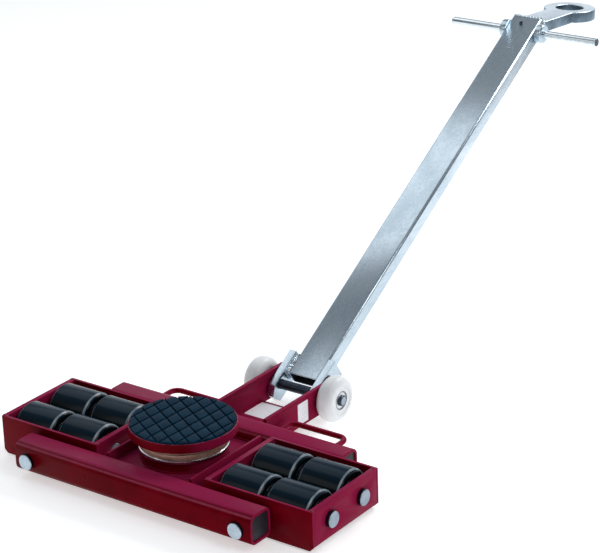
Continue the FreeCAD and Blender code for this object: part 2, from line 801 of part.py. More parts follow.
eye = body("towing_eye")
drawing = sketch(eye, "XY_Plane")
circle(drawing, 0, 0, eyeRadius)
pad(eye, drawing, eyeThickness, back=True)
drawing = sketch(eye, "XY_Plane")
rectangle(drawing, -(neckWidth / 2), -(neckLength + eyeThickness), neckWidth / 2, 0)
pad(eye, drawing, eyeThickness, back=True)
doc.recompute()
drawing = sketch(eye, "XY_Plane")
circle(drawing, 0, 0, eyeHole)
pocket(eye, drawing, eyeThickness)
doc.recompute()
# The neck is cut off square to the drawbar, where it butts against the end cap.
drawing = sketch(eye, "YZ_Plane", 0)
lean = eyeThickness * (sine(eyeAngle) / cosine(eyeAngle))
beyond = -(neckLength + 2 * eyeThickness)
outline(drawing, [(-neckLength, 0), (lean - neckLength, -eyeThickness), (beyond, -eyeThickness), (beyond, 0)])
pocket(eye, drawing, 2 * neckWidth, both=True)
eyeDrop = eyeAngle - liftAngle
capFace = tubeEnd + capThickness
eye.Placement = Placement(Vector(0, 0, 0), Rotation(Vector(-1, 0, 0), eyeDrop.value))
eye.setExpression("Placement.Rotation.Angle", eyeDrop.text)
eyeY = hingeY + capFace * cosine(liftAngle) + neckFall * sine(liftAngle) + neckLength * cosine(eyeDrop)
eyeZ = hingeZ + capFace * sine(liftAngle) - neckFall * cosine(liftAngle) - neckLength * sine(eyeDrop)
place(eye, 0, eyeY, eyeZ)


# ---- check and write ----

doc.recompute()
for thing in doc.Objects:
    if "Invalid" in thing.State or "Error" in thing.State:
        raise RuntimeError(f"{thing.Label} failed: {thing.State}")
for thing in nodes:
    if thing.Shape.isNull() or not thing.Shape.isValid() or not thing.Shape.Solids:
        raise RuntimeError(f"{thing.Label} has no valid solid")
for thing in nodes:
    thing.Shape.exportStep(f"parts/{thing.Label}.step")
    print(thing.Label, len(thing.Shape.Solids), round(sum(s.Volume for s in thing.Shape.Solids)))
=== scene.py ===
import json
import math

import bmesh
import bpy
from mathutils import Matrix, Vector


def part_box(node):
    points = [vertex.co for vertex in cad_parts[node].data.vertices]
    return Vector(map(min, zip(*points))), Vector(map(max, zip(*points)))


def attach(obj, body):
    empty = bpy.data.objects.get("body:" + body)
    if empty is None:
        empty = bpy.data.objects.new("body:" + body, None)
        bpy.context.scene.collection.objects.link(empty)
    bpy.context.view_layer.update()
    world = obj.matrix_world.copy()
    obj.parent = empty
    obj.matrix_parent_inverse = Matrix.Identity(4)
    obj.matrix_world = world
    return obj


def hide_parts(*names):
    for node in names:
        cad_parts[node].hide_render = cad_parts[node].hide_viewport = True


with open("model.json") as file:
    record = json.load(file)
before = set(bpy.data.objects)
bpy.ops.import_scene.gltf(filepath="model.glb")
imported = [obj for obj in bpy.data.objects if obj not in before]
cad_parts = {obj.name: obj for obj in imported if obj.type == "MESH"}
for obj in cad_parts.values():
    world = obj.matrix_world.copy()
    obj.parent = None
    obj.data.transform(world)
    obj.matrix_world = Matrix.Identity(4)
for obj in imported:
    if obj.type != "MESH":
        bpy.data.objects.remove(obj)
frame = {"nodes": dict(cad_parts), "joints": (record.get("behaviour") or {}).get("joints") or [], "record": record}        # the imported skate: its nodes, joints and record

scene = bpy.context.scene
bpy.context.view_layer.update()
mm = 0.001
joints = {j["name"]: j for j in frame["joints"]}
mounts = {m["name"]: m for m in frame["record"]["mounts"]}
print("skate loaded,", len(frame["nodes"]), "parts")


# camera, floor and light first

cameraSetup = {
    "azimuth": 36.56, "elevation": 21.97, "roll": -1.86,     # degrees
    "target": (-0.3209, 0.7766, 0.0375), "distance": 4.468, "lens": 131.3,
}


def makeCamera():
    azimuth, elevation, roll = (math.radians(cameraSetup[k]) for k in ("azimuth", "elevation", "roll"))
    back = Vector((math.sin(azimuth) * math.cos(elevation), -math.cos(azimuth) * math.cos(elevation),
                   math.sin(elevation)))
    level = Vector((math.cos(azimuth), math.sin(azimuth), 0))
    upright = back.cross(level)
    right = math.cos(roll) * level + math.sin(roll) * upright
    up = back.cross(right)
    camera = bpy.data.objects.new("camera", bpy.data.cameras.new("camera"))
    camera.data.lens = cameraSetup["lens"]
    camera.data.clip_end = 100
    turn = Matrix((right, up, back)).transposed()
    place = Vector(cameraSetup["target"]) + back * cameraSetup["distance"]
    camera.matrix_world = Matrix.Translation(place) @ turn.to_4x4()
    scene.collection.objects.link(camera)
    scene.camera = camera


studio = {
    "floorSize": 40.0, "floorColour": (0.86, 0.87, 0.88), "floorGlow": 0.50, "floorGap": 0.0004,
    "sky": (0.88, 0.94, 1.0), "backdrop": 0.95, "ceiling": 0.30, "room": 0.10,
    "softboxes": [      # place, aimed at, width, height, power, colour
        ((0.5, 2.5, 2.1), (0.0, 0.0, 0.1), 1.6, 1.1, 44, (1.0, 0.98, 0.97)),
        ((-1.9, 1.0, 2.9), (0.0, 0.7, 0.2), 2.4, 2.2, 17, (0.96, 0.98, 1.0)),
        ((2.2, -0.4, 1.9), (0.0, 0.3, 0.1), 0.9, 1.4, 15, (1.0, 1.0, 1.0)),
        ((-1.2, -2.2, 1.7), (0.0, 0.0, 0.1), 1.8, 1.4, 8, (0.96, 0.98, 1.0)),
    ],
}


# sums on sockets, and one way to make any node

class Value:
    # a node socket that can be added, multiplied and so on
    def __init__(self, tree, socket):
        self.tree = tree
        self.socket = socket

    def sum(self, operation, first, second):
        node = make(self.tree, "ShaderNodeMath", {"operation": operation}, {0: first, 1: second})
        return Value(self.tree, node.outputs[0])

    def __add__(self, other):
        return self.sum("ADD", self, other)

    def __radd__(self, other):
        return self.sum("ADD", other, self)

    def __sub__(self, other):
        return self.sum("SUBTRACT", self, other)

    def __rsub__(self, other):
        return self.sum("SUBTRACT", other, self)

    def __mul__(self, other):
        return self.sum("MULTIPLY", self, other)

    def __rmul__(self, other):
        return self.sum("MULTIPLY", other, self)


def make(tree, kind, settings=None, sockets=None):
    # any node: its settings first, then the values or links of its sockets
    node = tree.nodes.new(kind)
    for name, value in (settings or {}).items():
        if name == "stops":
            for element, (place, colour) in zip(node.color_ramp.elements, value):
                element.position = place
                element.color = (*colour, 1)
        else:
            setattr(node, name, value)
    for key, value in (sockets or {}).items():
        socket = node.inputs[key]
        if isinstance(value, Value):
            tree.links.new(value.socket, socket)
        elif isinstance(value, bpy.types.NodeSocket):
            tree.links.new(value, socket)
        elif socket.type == "RGBA" and len(value) == 3:
            socket.default_value = (*value, 1)
        else:
            socket.default_value = value
    return node


def out(tree, node, name=0):
    return Value(tree, node.outputs[name])


def objectSpot(tree, stretch=(1, 1, 1), turn=(0, 0, 0)):
    coordinates = make(tree, "ShaderNodeTexCoord")
    mapping = make(tree, "ShaderNodeMapping", {},
                   {"Vector": coordinates.outputs["Object"], "Scale": stretch, "Rotation": turn})
    return mapping.outputs["Vector"]


def turnedSpot(tree, around, along):
    # the lathe's own map: round the piece, and along its outline
    uv = make(tree, "ShaderNodeUVMap", {"uv_map": "turned"})
    mapping = make(tree, "ShaderNodeMapping", {}, {"Vector": uv.outputs["UV"], "Scale": (around, along, 1)})
    return mapping.outputs["Vector"]


def noise(tree, spot, scale, detail=3.0, roughness=0.5):
    node = make(tree, "ShaderNodeTexNoise", {},
                {"Vector": spot, "Scale": scale, "Detail": detail, "Roughness": roughness})
    return out(tree, node, "Fac")


def between(tree, value, low, high, start=0.0, end=1.0):
    # a smooth step of the value from low to high
    node = make(tree, "ShaderNodeMapRange", {"interpolation_type": "SMOOTHSTEP"},
                {"Value": value, "From Min": low, "From Max": high, "To Min": start, "To Max": end})
    return out(tree, node, "Result")


def blendColours(tree, share, first, second):
    node = make(tree, "ShaderNodeMix", {"data_type": "RGBA"}, {0: share, 6: first, 7: second})
    return node.outputs[2]


def bump(tree, height, distance, strength=1.0):
    sockets = {"Height": height, "Distance": distance, "Strength": strength}
    return make(tree, "ShaderNodeBump", {}, sockets).outputs["Normal"]


def facing(tree):
    # how far a face looks up, and how far it looks along +X
    geometry = make(tree, "ShaderNodeNewGeometry")
    parts = make(tree, "ShaderNodeSeparateXYZ", {}, {0: geometry.outputs["Normal"]})
    return out(tree, parts, "Z"), out(tree, parts, "X")


def newMaterial(name, fixed, varying, *look):
    # fixed: constants on the shader; varying: a function of the look that gives linked sockets
    material = bpy.data.materials.new(name)
    material.use_nodes = True
    tree = material.node_tree
    tree.nodes.clear()
    shader = make(tree, "ShaderNodeBsdfPrincipled", {}, fixed)
    for socket, value in varying(tree, *look).items():
        tree.links.new(value.socket if isinstance(value, Value) else value, shader.inputs[socket])
    make(tree, "ShaderNodeOutputMaterial", {}, {"Surface": shader.outputs[0]})
    return material


# finishes

# the side and top tints are painted light: faces turned to +X take a lighter pink as if lit from the right,
# upward faces a raspberry sheen
paintLook = {
    "deep": (0.118, 0.0004, 0.0040), "bright": (0.168, 0.0009, 0.0075), "paintedSheenTop": (0.29, 0.0155, 0.070),
    "side": (0.27, 0.0085, 0.050), "wear": (0.46, 0.085, 0.16), "chip": (0.30, 0.20, 0.22),
}


def paintNodes(tree, edge=False, rounded=False):
    spot = objectSpot(tree)
    cloud = noise(tree, spot, 14, 2)
    colour = blendColours(tree, between(tree, cloud, 0.35, 0.7), paintLook["deep"], paintLook["bright"])
    up, right = facing(tree)
    grain = noise(tree, spot, 620, 2, 0.7)
    # painted light: faces turned to +X are tinted lighter pink, as if lit from the right
    colour = blendColours(tree, between(tree, right, 0.60, 0.95) * (0.62 + 0.6 * grain),
                          colour, paintLook["side"])
    # painted sheen: upward faces are tinted raspberry, standing in for the sheen of the light from behind
    colour = blendColours(tree, between(tree, up, 0.80, 0.94) * (0.55 + 0.7 * grain),
                          colour, paintLook["paintedSheenTop"])
    scuff = noise(tree, spot, 95, 5, 0.72)
    if rounded:      # a painted highlight along each top corner of a beam, broken up by the scuff noise
        line = between(tree, up, 0.52, 0.66) * (1 - between(tree, up, 0.70, 0.84))
        colour = blendColours(tree, line * (0.15 + 0.6 * scuff), colour, paintLook["wear"])
    # on edges the light wear colour covers much of the bevel: partly wear, partly a painted highlight along
    # the edges
    share = between(tree, scuff, 0.46, 0.70) * 0.85 if edge else between(tree, scuff, 0.68, 0.80) * 0.35
    colour = blendColours(tree, share, colour, paintLook["wear"])
    if edge:
        colour = blendColours(tree, between(tree, noise(tree, spot, 210, 4, 0.7), 0.66, 0.72) * 0.6, colour,
                              paintLook["chip"])
    smudge = noise(tree, spot, 32, 4, 0.6)
    peel = noise(tree, spot, 330, 2)
    return {"Base Color": colour, "Roughness": 0.20 + smudge * 0.22,
            "Normal": bump(tree, peel + grain * 0.35, 0.00022, 0.5)}


paintFixed = {"Specular IOR Level": 0.03, "IOR": 1.42}
redPaint = newMaterial("redPaint", paintFixed, paintNodes)
redBeam = newMaterial("redBeam", paintFixed, paintNodes, False, True)
# edge finish for bevels: wear and chips, with a painted highlight along the edges
redEdge = newMaterial("redEdge", {"Specular IOR Level": 0.20}, paintNodes, True)

zincLook = {"light": (0.57, 0.66, 0.73), "dull": (0.43, 0.52, 0.59), "edge": (0.80, 0.86, 0.90)}


def zincNodes(tree, lengthwise=True, edge=False):
    tilt = (-liftAngle, 0, 0)        # unturns the drawbar, so that the streaks run along it
    streak = noise(tree, objectSpot(tree, (1, 0.035, 1) if lengthwise else (1, 1, 1), turn=tilt), 260, 3, 0.6)
    cloud = noise(tree, objectSpot(tree, (1, 0.35, 1), turn=tilt), 22, 4, 0.62)
    flake = make(tree, "ShaderNodeTexVoronoi", {"feature": "F1"}, {"Vector": objectSpot(tree), "Scale": 190})
    share = cloud * 0.7 + streak * 0.25 + out(tree, flake, "Distance") * 0.15
    # with edge set, the lighter colours paint a highlight on the bevels
    light, dull = (zincLook["edge"], zincLook["light"]) if edge else (zincLook["light"], zincLook["dull"])
    colour = blendColours(tree, between(tree, share, 0.35, 0.75), light, dull)
    scratch = noise(tree, objectSpot(tree, (1, 0.02, 1), turn=tilt), 900, 2, 0.4)
    return {"Base Color": colour, "Roughness": 0.15 + cloud * 0.16 + streak * 0.06,
            "Normal": bump(tree, streak * 0.5 + scratch * 0.5, 0.00004, 0.5)}


def turnedNodes(tree, light, dark, rough, grooves=1500, depth=0.00005):
    # fine rings left by the lathe, with a few deeper ones
    fine = noise(tree, turnedSpot(tree, 0.6, grooves), 1.0, 2, 0.6)
    broad = noise(tree, turnedSpot(tree, 0.35, grooves / 9), 1.0, 2)
    stain = noise(tree, objectSpot(tree), 70, 4, 0.6)
    colour = blendColours(tree, between(tree, stain * 0.7 + fine * 0.3, 0.38, 0.68), light, dark)
    return {"Base Color": colour, "Roughness": rough + fine * 0.12 + stain * 0.10,
            "Normal": bump(tree, fine * 0.5 + broad * 0.5, depth, 0.7)}


def plasticNodes(tree, light, dark, rough, grain=240, depth=0.00006):
    spot = objectSpot(tree)
    cloud = noise(tree, spot, 26, 4, 0.6)
    fine = noise(tree, spot, grain, 3, 0.6)
    colour = blendColours(tree, between(tree, cloud, 0.32, 0.72), light, dark)
    return {"Base Color": colour, "Roughness": rough + cloud * 0.14 + fine * 0.05,
            "Normal": bump(tree, fine * 0.7 + cloud * 0.3, depth, 0.6)}


def rollerNodes(tree, light, dark, rough):
    # cast nylon, turned to size: rings round it, tracks rubbed by the floor, and a painted sheen on the upper
    # side
    fine = noise(tree, turnedSpot(tree, 0.5, 900), 1.0, 2, 0.6)
    track = noise(tree, turnedSpot(tree, 2.2, 60), 1.0, 4, 0.62)
    dust = noise(tree, objectSpot(tree), 48, 5, 0.65)
    up = facing(tree)[0]
    colour = blendColours(tree, between(tree, track * 0.6 + dust * 0.4, 0.40, 0.70), dark, light)
    # painted sheen: the upper side of each roller is tinted blue, for the light that falls on it
    colour = blendColours(tree, between(tree, up, 0.45, 1.0) * (0.5 + 0.5 * track), colour, rollerSheen)
    return {"Base Color": colour, "Roughness": rough + track * 0.14 + fine * 0.04,
            "Normal": bump(tree, fine * 0.6 + track * 0.4, 0.000015, 0.5)}


def rubberNodes(tree):
    spot = objectSpot(tree)
    cloud = noise(tree, spot, 60, 5, 0.68)
    grain = noise(tree, spot, 900, 2, 0.6)
    crumb = noise(tree, spot, 240, 4, 0.7)
    colour = blendColours(tree, between(tree, cloud, 0.30, 0.72), rubberLook["dark"], rubberLook["light"])
    colour = blendColours(tree, between(tree, crumb, 0.60, 0.78) * 0.45, colour, rubberLook["dust"])
    return {"Base Color": colour, "Roughness": 0.44 + cloud * 0.22,
            "Normal": bump(tree, grain * 0.4 + crumb * 0.6, 0.00035, 0.6)}


def labelNodes(tree):
    # plain white film: faint specks, curled a little where the glue lets go
    spot = objectSpot(tree)
    speck = noise(tree, spot, 380, 3, 0.7)
    colour = blendColours(tree, between(tree, speck, 0.56, 0.70) * 0.6, labelLook["film"], labelLook["speck"])
    return {"Base Color": colour, "Roughness": 0.32 + speck * 0.2,
            "Normal": bump(tree, noise(tree, spot, 60, 3), 0.0003, 0.4)}


rollerSheen = (0.0014, 0.018, 0.038)
rubberLook = {"dark": (0.0008, 0.015, 0.034), "light": (0.0024, 0.034, 0.068), "dust": (0.022, 0.075, 0.115)}
labelLook = {"film": (0.92, 0.94, 0.98), "speck": (0.40, 0.43, 0.52)}

hinge = Vector(joints["drawbar_lift"]["pos_m"])


def middle(node):
    low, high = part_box(node)
    return (low + high) / 2


alongBar = (middle("drawbar_end_cap") - middle("drawbar_tube")).normalized()
liftAngle = math.atan2(alongBar.z, alongBar.y)

metal = {"Metallic": 1.0}
zinc = newMaterial("zinc", metal, zincNodes)
zincPlate = newMaterial("zincPlate", metal, zincNodes, False)
# edge finish: lighter zinc on the bevels, a painted highlight along the edges; the drawbar welds take it too
zincEdge = newMaterial("zincEdge", metal, zincNodes, True, True)
# one machined end finish in two tones: the lighter copy paints light on the pivot pin heads, the darker copy
# paints shade on the axle ends
endPaintedLit = newMaterial("endPaintedLit", metal, turnedNodes, (0.52, 0.62, 0.70), (0.40, 0.49, 0.56), 0.30)
endPaintedShade = newMaterial("endPaintedShade", metal, turnedNodes, (0.36, 0.43, 0.50), (0.27, 0.33, 0.39), 0.34)
blackBar = newMaterial("blackBar", metal, turnedNodes, (0.045, 0.055, 0.075), (0.02, 0.026, 0.038), 0.26)
ballSteel = newMaterial("ballSteel", metal, plasticNodes, (0.70, 0.72, 0.75), (0.55, 0.57, 0.60), 0.10)
ringSteel = newMaterial("ringSteel", metal, turnedNodes, (0.82, 0.83, 0.86), (0.66, 0.68, 0.72), 0.10)
raceSteel = newMaterial("raceSteel", metal, turnedNodes, (0.20, 0.20, 0.22), (0.10, 0.10, 0.12), 0.22)
bronze = newMaterial("bronze", {"Metallic": 0.55}, turnedNodes,
                     (0.86, 0.62, 0.47), (0.60, 0.39, 0.26), 0.24)
rollerNylon = newMaterial("rollerNylon", {"Specular IOR Level": 0.12}, rollerNodes,
                          (0.0016, 0.0062, 0.0086), (0.0010, 0.0040, 0.0056), 0.10)
# painted highlight: the light the roller chamfers catch
rollerRim = newMaterial("rollerRim", {"Specular IOR Level": 0.5}, rollerNodes,
                        (0.36, 0.46, 0.53), (0.15, 0.20, 0.25), 0.22)
nylonFixed = {"Specular IOR Level": 0.45, "Subsurface Weight": 0.12,
              "Subsurface Radius": (0.004, 0.004, 0.004)}
whiteNylon = newMaterial("whiteNylon", nylonFixed, plasticNodes, (0.88, 0.90, 0.91), (0.82, 0.85, 0.87), 0.28)
blackPlastic = newMaterial("blackPlastic", {"Specular IOR Level": 0.35}, plasticNodes,
                           (0.022, 0.026, 0.034), (0.010, 0.012, 0.017), 0.42, 700, 0.0002)
# painted shade: near-black inner walls for the drawbar tube, whose inside lies in shadow
tubeInsideShade = newMaterial("tubeInsideShade", {"Specular IOR Level": 0.2}, plasticNodes,
                         (0.010, 0.012, 0.015), (0.003, 0.004, 0.006), 0.6)
# painted reflection: dark side faces of the towing eye
eyeSideDarkReflection = newMaterial("eyeSideDarkReflection", metal, plasticNodes, (0.20, 0.27, 0.33), (0.09, 0.13, 0.17),
                      0.30, 500, 0.0003)
shieldSteel = newMaterial("shieldSteel", metal, turnedNodes, (0.66, 0.70, 0.73), (0.52, 0.56, 0.60), 0.28)
sealRubber = newMaterial("sealRubber", {"Specular IOR Level": 0.4}, plasticNodes,
                         (0.012, 0.013, 0.015), (0.006, 0.006, 0.008), 0.35)
padRubber = newMaterial("padRubber", {"Specular IOR Level": 0.05}, rubberNodes)
padEdge = newMaterial("padEdge", {"Specular IOR Level": 0.25}, plasticNodes,
                      (0.020, 0.070, 0.110), (0.003, 0.018, 0.036), 0.35, 300, 0.0002)
labelFilm = newMaterial("labelFilm", {"Specular IOR Level": 0.5}, labelNodes)
print("finishes made,", len(bpy.data.materials))


# mesh helpers

def addPiece(name, mesh, body, nodes=(), materials=(), sharp=32):
    # a finished mesh becomes a piece that rides on its body and stands for its nodes
    for material in materials:
        mesh.materials.append(material)
    mesh.shade_smooth()
    mesh.set_sharp_from_angle(angle=math.radians(sharp))
    piece = bpy.data.objects.new(name, mesh)
    scene.collection.objects.link(piece)
    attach(piece, body)
    if nodes:
        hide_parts(*nodes)
    return piece


def toMesh(bm, name):
    bmesh.ops.remove_doubles(bm, verts=bm.verts, dist=1e-6)
    bmesh.ops.recalc_face_normals(bm, faces=bm.faces)
    mesh = bpy.data.meshes.new(name)
    bm.to_mesh(mesh)
    bm.free()
    return mesh


def filleted(points, radius, steps=3):
    # an outline of (along, radius[, material]) with each inside corner rounded; ends stay
    smooth = [points[0]]
    for before, corner, after in zip(points, points[1:], points[2:]):
        here = Vector(corner[:2])
        back, ahead = Vector(before[:2]) - here, Vector(after[:2]) - here
        r = min(radius, back.length * 0.45, ahead.length * 0.45)
        if r < 1e-6 or back.normalized().dot(ahead.normalized()) < -0.999:
            smooth.append(corner)
            continue
        start, end = here + back.normalized() * r, here + ahead.normalized() * r
        for i in range(steps + 1):
            t = i / steps
            spot = (1 - t) ** 2 * start + 2 * t * (1 - t) * here + t ** 2 * end
            tag = before[2:] if i == 0 else corner[2:]
            smooth.append((spot.x, spot.y, *(corner[2:] if i == steps else tag)))
    smooth.append(points[-1])
    return smooth


def turnOutline(bm, outline, centre, axis, steps, closed):
    # spins an outline of (along, radius, material of the band that follows) round an axis
    uvLayer = bm.loops.layers.uv.get("turned") or bm.loops.layers.uv.new("turned")
    axis = Vector(axis).normalized()
    side = axis.orthogonal().normalized()
    other = axis.cross(side)
    rings = []
    for point in outline:
        base = Vector(centre) + axis * point[0]
        if point[1] < 1e-7:
            rings.append([bm.verts.new(base)] * steps)
        else:
            turns = (2 * math.pi * i / steps for i in range(steps))
            rings.append([bm.verts.new(base + (side * math.cos(a) + other * math.sin(a)) * point[1])
                          for a in turns])
    pairs = list(zip(range(len(outline)), range(1, len(outline))))
    if closed:
        pairs.append((len(outline) - 1, 0))
    travelled = 0.0
    for a, b in pairs:
        length = math.dist(outline[a][:2], outline[b][:2])
        band = outline[a][2] if len(outline[a]) > 2 else 0
        for i in range(steps):
            j = (i + 1) % steps
            loop = [(rings[a][i], i, 0), (rings[a][j], i + 1, 0),
                    (rings[b][j], i + 1, 1), (rings[b][i], i, 1)]
            seen = []
            for vert, turn, end in loop:
                if vert not in [s[0] for s in seen]:
                    seen.append((vert, turn, end))
            if len(seen) < 3:
                continue
            face = bm.faces.new([s[0] for s in seen])
            face.material_index = band
            for corner, (vert, turn, end) in zip(face.loops, seen):
                corner[uvLayer].uv = (turn / steps, travelled + length * end)
        travelled += length


def lathe(name, outlines, centre, axis, body, nodes, materials, steps=64, closed=False):
    bm = bmesh.new()
    for outline in outlines:
        turnOutline(bm, outline, centre, axis, steps, closed)
    return addPiece(name, toMesh(bm, name), body, nodes, materials)


def mergedCopy(node):
    bm = bmesh.new()
    bm.from_mesh(frame["nodes"][node].data)
    bmesh.ops.remove_doubles(bm, verts=bm.verts, dist=2e-6)
    return bm


def solidsOf(node):
    # the lowest and highest corner of each separate solid in a node
    bm = mergedCopy(node)
    left = set(bm.verts)
    found = []
    while left:
        front = [left.pop()]
        corners = []
        while front:
            vert = front.pop()
            corners.append(vert.co.copy())
            for edge in vert.link_edges:
                neighbour = edge.other_vert(vert)
                if neighbour in left:
                    left.remove(neighbour)
                    front.append(neighbour)
        low = Vector([min(c[k] for c in corners) for k in range(3)])
        high = Vector([max(c[k] for c in corners) for k in range(3)])
        found.append((low, high))
    bm.free()
    return sorted(found, key=lambda pair: tuple(round(x, 4) for x in pair[0] + pair[1]))


def plain(piece, name):
    # the evaluated piece as a plain mesh
    graph = bpy.context.evaluated_depsgraph_get()
    mesh = bpy.data.meshes.new_from_object(piece.evaluated_get(graph), depsgraph=graph)
    mesh.name = name
    return mesh


def bevelled(bm, name, width, steps=2):
    # rounds every real edge of a mesh; the rounds take the second material
    bmesh.ops.dissolve_limit(bm, angle_limit=0.02, verts=bm.verts, edges=bm.edges)
    mesh = toMesh(bm, name)
    holder = bpy.data.objects.new(name, mesh)
    mesh.materials.append(None)
    mesh.materials.append(None)
    scene.collection.objects.link(holder)
    modifier = holder.modifiers.new("bevel", "BEVEL")
    modifier.width = width
    modifier.segments = steps
    modifier.limit_method = "ANGLE"
    modifier.angle_limit = math.radians(34)
    modifier.material = 1
    made = plain(holder, name)
    made.materials.clear()
    bpy.data.objects.remove(holder)
    return made


def softened(name, node, width, body, materials, steps=2):
    mesh = bevelled(mergedCopy(node), name, width, steps)
    return addPiece(name, mesh, body, [node], materials)


def roundedSection(width, height, corner, steps=7):
    # points round a rectangle with round corners
    points = []
    for quarter, (x, y) in enumerate(((1, 1), (-1, 1), (-1, -1), (1, -1))):
        centre = Vector((x * (width / 2 - corner), y * (height / 2 - corner)))
        for i in range(steps + 1):
            angle = (quarter + i / steps) * math.pi / 2
            points.append(centre + corner * Vector((math.cos(angle), math.sin(angle))))
    return points


def boxTube(name, width, height, look, start, end, place, body, node, materials):
    # a square tube along local X, open at its ends; its inner walls take the second material
    bm = bmesh.new()
    corner, wall, soft = look["corner"], look["wall"], look["softEnd"]
    rings = []
    for x, inset in ((start, soft), (start + soft, 0), (end - soft, 0), (end, soft),
                     (end, wall - soft), (end - soft, wall), (start + soft, wall), (start, wall - soft)):
        section = roundedSection(width - 2 * inset, height - 2 * inset, max(corner - inset, 0.0006))
        rings.append([bm.verts.new(place @ Vector((x, p.x, p.y))) for p in section])
    for number, (a, b) in enumerate(zip(rings, rings[1:] + rings[:1])):
        for i in range(len(a)):
            j = (i + 1) % len(a)
            face = bm.faces.new((a[i], a[j], b[j], b[i]))
            face.material_index = 1 if number in (4, 5, 6) else 0
    return addPiece(name, toMesh(bm, name), body, [node], materials, 50)


# geometry node trees, all with sizes as named inputs

def startTree(name, sizes):
    tree = bpy.data.node_groups.new(name, "GeometryNodeTree")
    kinds = {float: "NodeSocketFloat", int: "NodeSocketInt"}
    tree.interface.new_socket("Geometry", in_out="INPUT", socket_type="NodeSocketGeometry")
    for label, value in sizes.items():
        socket = tree.interface.new_socket(label, in_out="INPUT", socket_type=kinds[type(value)])
        socket.default_value = value
    tree.interface.new_socket("Finish", in_out="INPUT", socket_type="NodeSocketMaterial")
    tree.interface.new_socket("Geometry", in_out="OUTPUT", socket_type="NodeSocketGeometry")
    return tree, make(tree, "NodeGroupInput")


def endTree(tree, given, geometry):
    whole = make(tree, "GeometryNodeRealizeInstances", {}, {"Geometry": geometry})
    coloured = make(tree, "GeometryNodeSetMaterial", {},
                    {"Geometry": whole.outputs[0], "Material": given.outputs["Finish"]})
    make(tree, "NodeGroupOutput", {}, {0: coloured.outputs[0]})


def grow(name, tree, mesh, sizes, finish):
    # runs a tree on a mesh and keeps the plain result
    holder = bpy.data.objects.new(name, mesh)
    scene.collection.objects.link(holder)
    modifier = holder.modifiers.new("grow", "NODES")
    modifier.node_group = tree
    inputs = {item.name: item.identifier for item in tree.interface.items_tree if item.in_out == "INPUT"}
    for label, value in sizes.items():
        modifier[inputs[label]] = value
    modifier[inputs["Finish"]] = finish
    made = plain(holder, name)
    bpy.data.objects.remove(holder)
    return made


weldSizes = {"Width": 0.006, "Pitch": 0.0026, "Height": 0.55, "Seed": 3}


def makeWeldTree():
    # overlapping puddles laid along a path
    tree, given = startTree("weldBead", weldSizes)
    curve = make(tree, "GeometryNodeMeshToCurve", {}, {"Mesh": given.outputs["Geometry"]})
    spaced = make(tree, "GeometryNodeResampleCurve", {"mode": "LENGTH"},
                  {"Curve": curve.outputs[0], "Length": given.outputs["Pitch"]})
    tangent = make(tree, "GeometryNodeInputTangent")
    aimed = make(tree, "FunctionNodeAlignRotationToVector", {"axis": "X"}, {"Vector": tangent.outputs[0]})
    puddle = make(tree, "GeometryNodeMeshUVSphere", {}, {"Segments": 9, "Rings": 6, "Radius": 0.5})
    rounded = make(tree, "GeometryNodeSetShadeSmooth", {}, {"Geometry": puddle.outputs["Mesh"]})
    wobble = make(tree, "FunctionNodeRandomValue", {"data_type": "FLOAT"},
                  {2: 0.82, 3: 1.15, "Seed": given.outputs["Seed"]})
    width = out(tree, given, "Width") * out(tree, wobble, 1)
    reach = out(tree, given, "Pitch") * 2.1
    size = make(tree, "ShaderNodeCombineXYZ", {},
                {"X": reach, "Y": width, "Z": width * out(tree, given, "Height") * 2.0})
    placed = make(tree, "GeometryNodeInstanceOnPoints", {},
                  {"Points": spaced.outputs[0], "Instance": rounded.outputs[0],
                   "Rotation": aimed.outputs[0], "Scale": size.outputs[0]})
    endTree(tree, given, placed.outputs[0])
    return tree


rodSizes = {"Rod Radius": 0.005, "Bend Radius": 0.016}


def makeRodTree():
    # a round bar bent along a path of straight runs
    tree, given = startTree("bentRod", rodSizes)
    curve = make(tree, "GeometryNodeMeshToCurve", {}, {"Mesh": given.outputs["Geometry"]})
    bent = make(tree, "GeometryNodeFilletCurve", {"mode": "POLY"},
                {"Curve": curve.outputs[0], "Count": 9, "Radius": given.outputs["Bend Radius"]})
    section = make(tree, "GeometryNodeCurvePrimitiveCircle", {},
                   {"Resolution": 24, "Radius": given.outputs["Rod Radius"]})
    bar = make(tree, "GeometryNodeCurveToMesh", {},
               {"Curve": bent.outputs[0], "Profile Curve": section.outputs[0], "Fill Caps": True})
    endTree(tree, given, bar.outputs[0])
    return tree


ballSizes = {"Circle Radius": 0.069, "Ball Radius": 0.006, "Count": 24}


def makeBallTree():
    tree, given = startTree("ballRing", ballSizes)
    ring = make(tree, "GeometryNodeMeshCircle", {},
                {"Vertices": given.outputs["Count"], "Radius": given.outputs["Circle Radius"]})
    ball = make(tree, "GeometryNodeMeshUVSphere", {},
                {"Segments": 20, "Rings": 12, "Radius": given.outputs["Ball Radius"]})
    smooth = make(tree, "GeometryNodeSetShadeSmooth", {}, {"Geometry": ball.outputs["Mesh"]})
    placed = make(tree, "GeometryNodeInstanceOnPoints", {},
                  {"Points": ring.outputs["Mesh"], "Instance": smooth.outputs[0]})
    endTree(tree, given, placed.outputs[0])
    return tree


padSizes = {"Pad Radius": 0.0905, "Block Depth": 0.003, "Along Row": 0.0287, "Across Row": 0.0261,
            "Row Angle": math.radians(-30.1), "Other Angle": math.radians(87.1), "Groove": 0.14,
            "Shift X": 0.0, "Shift Y": 0.0}


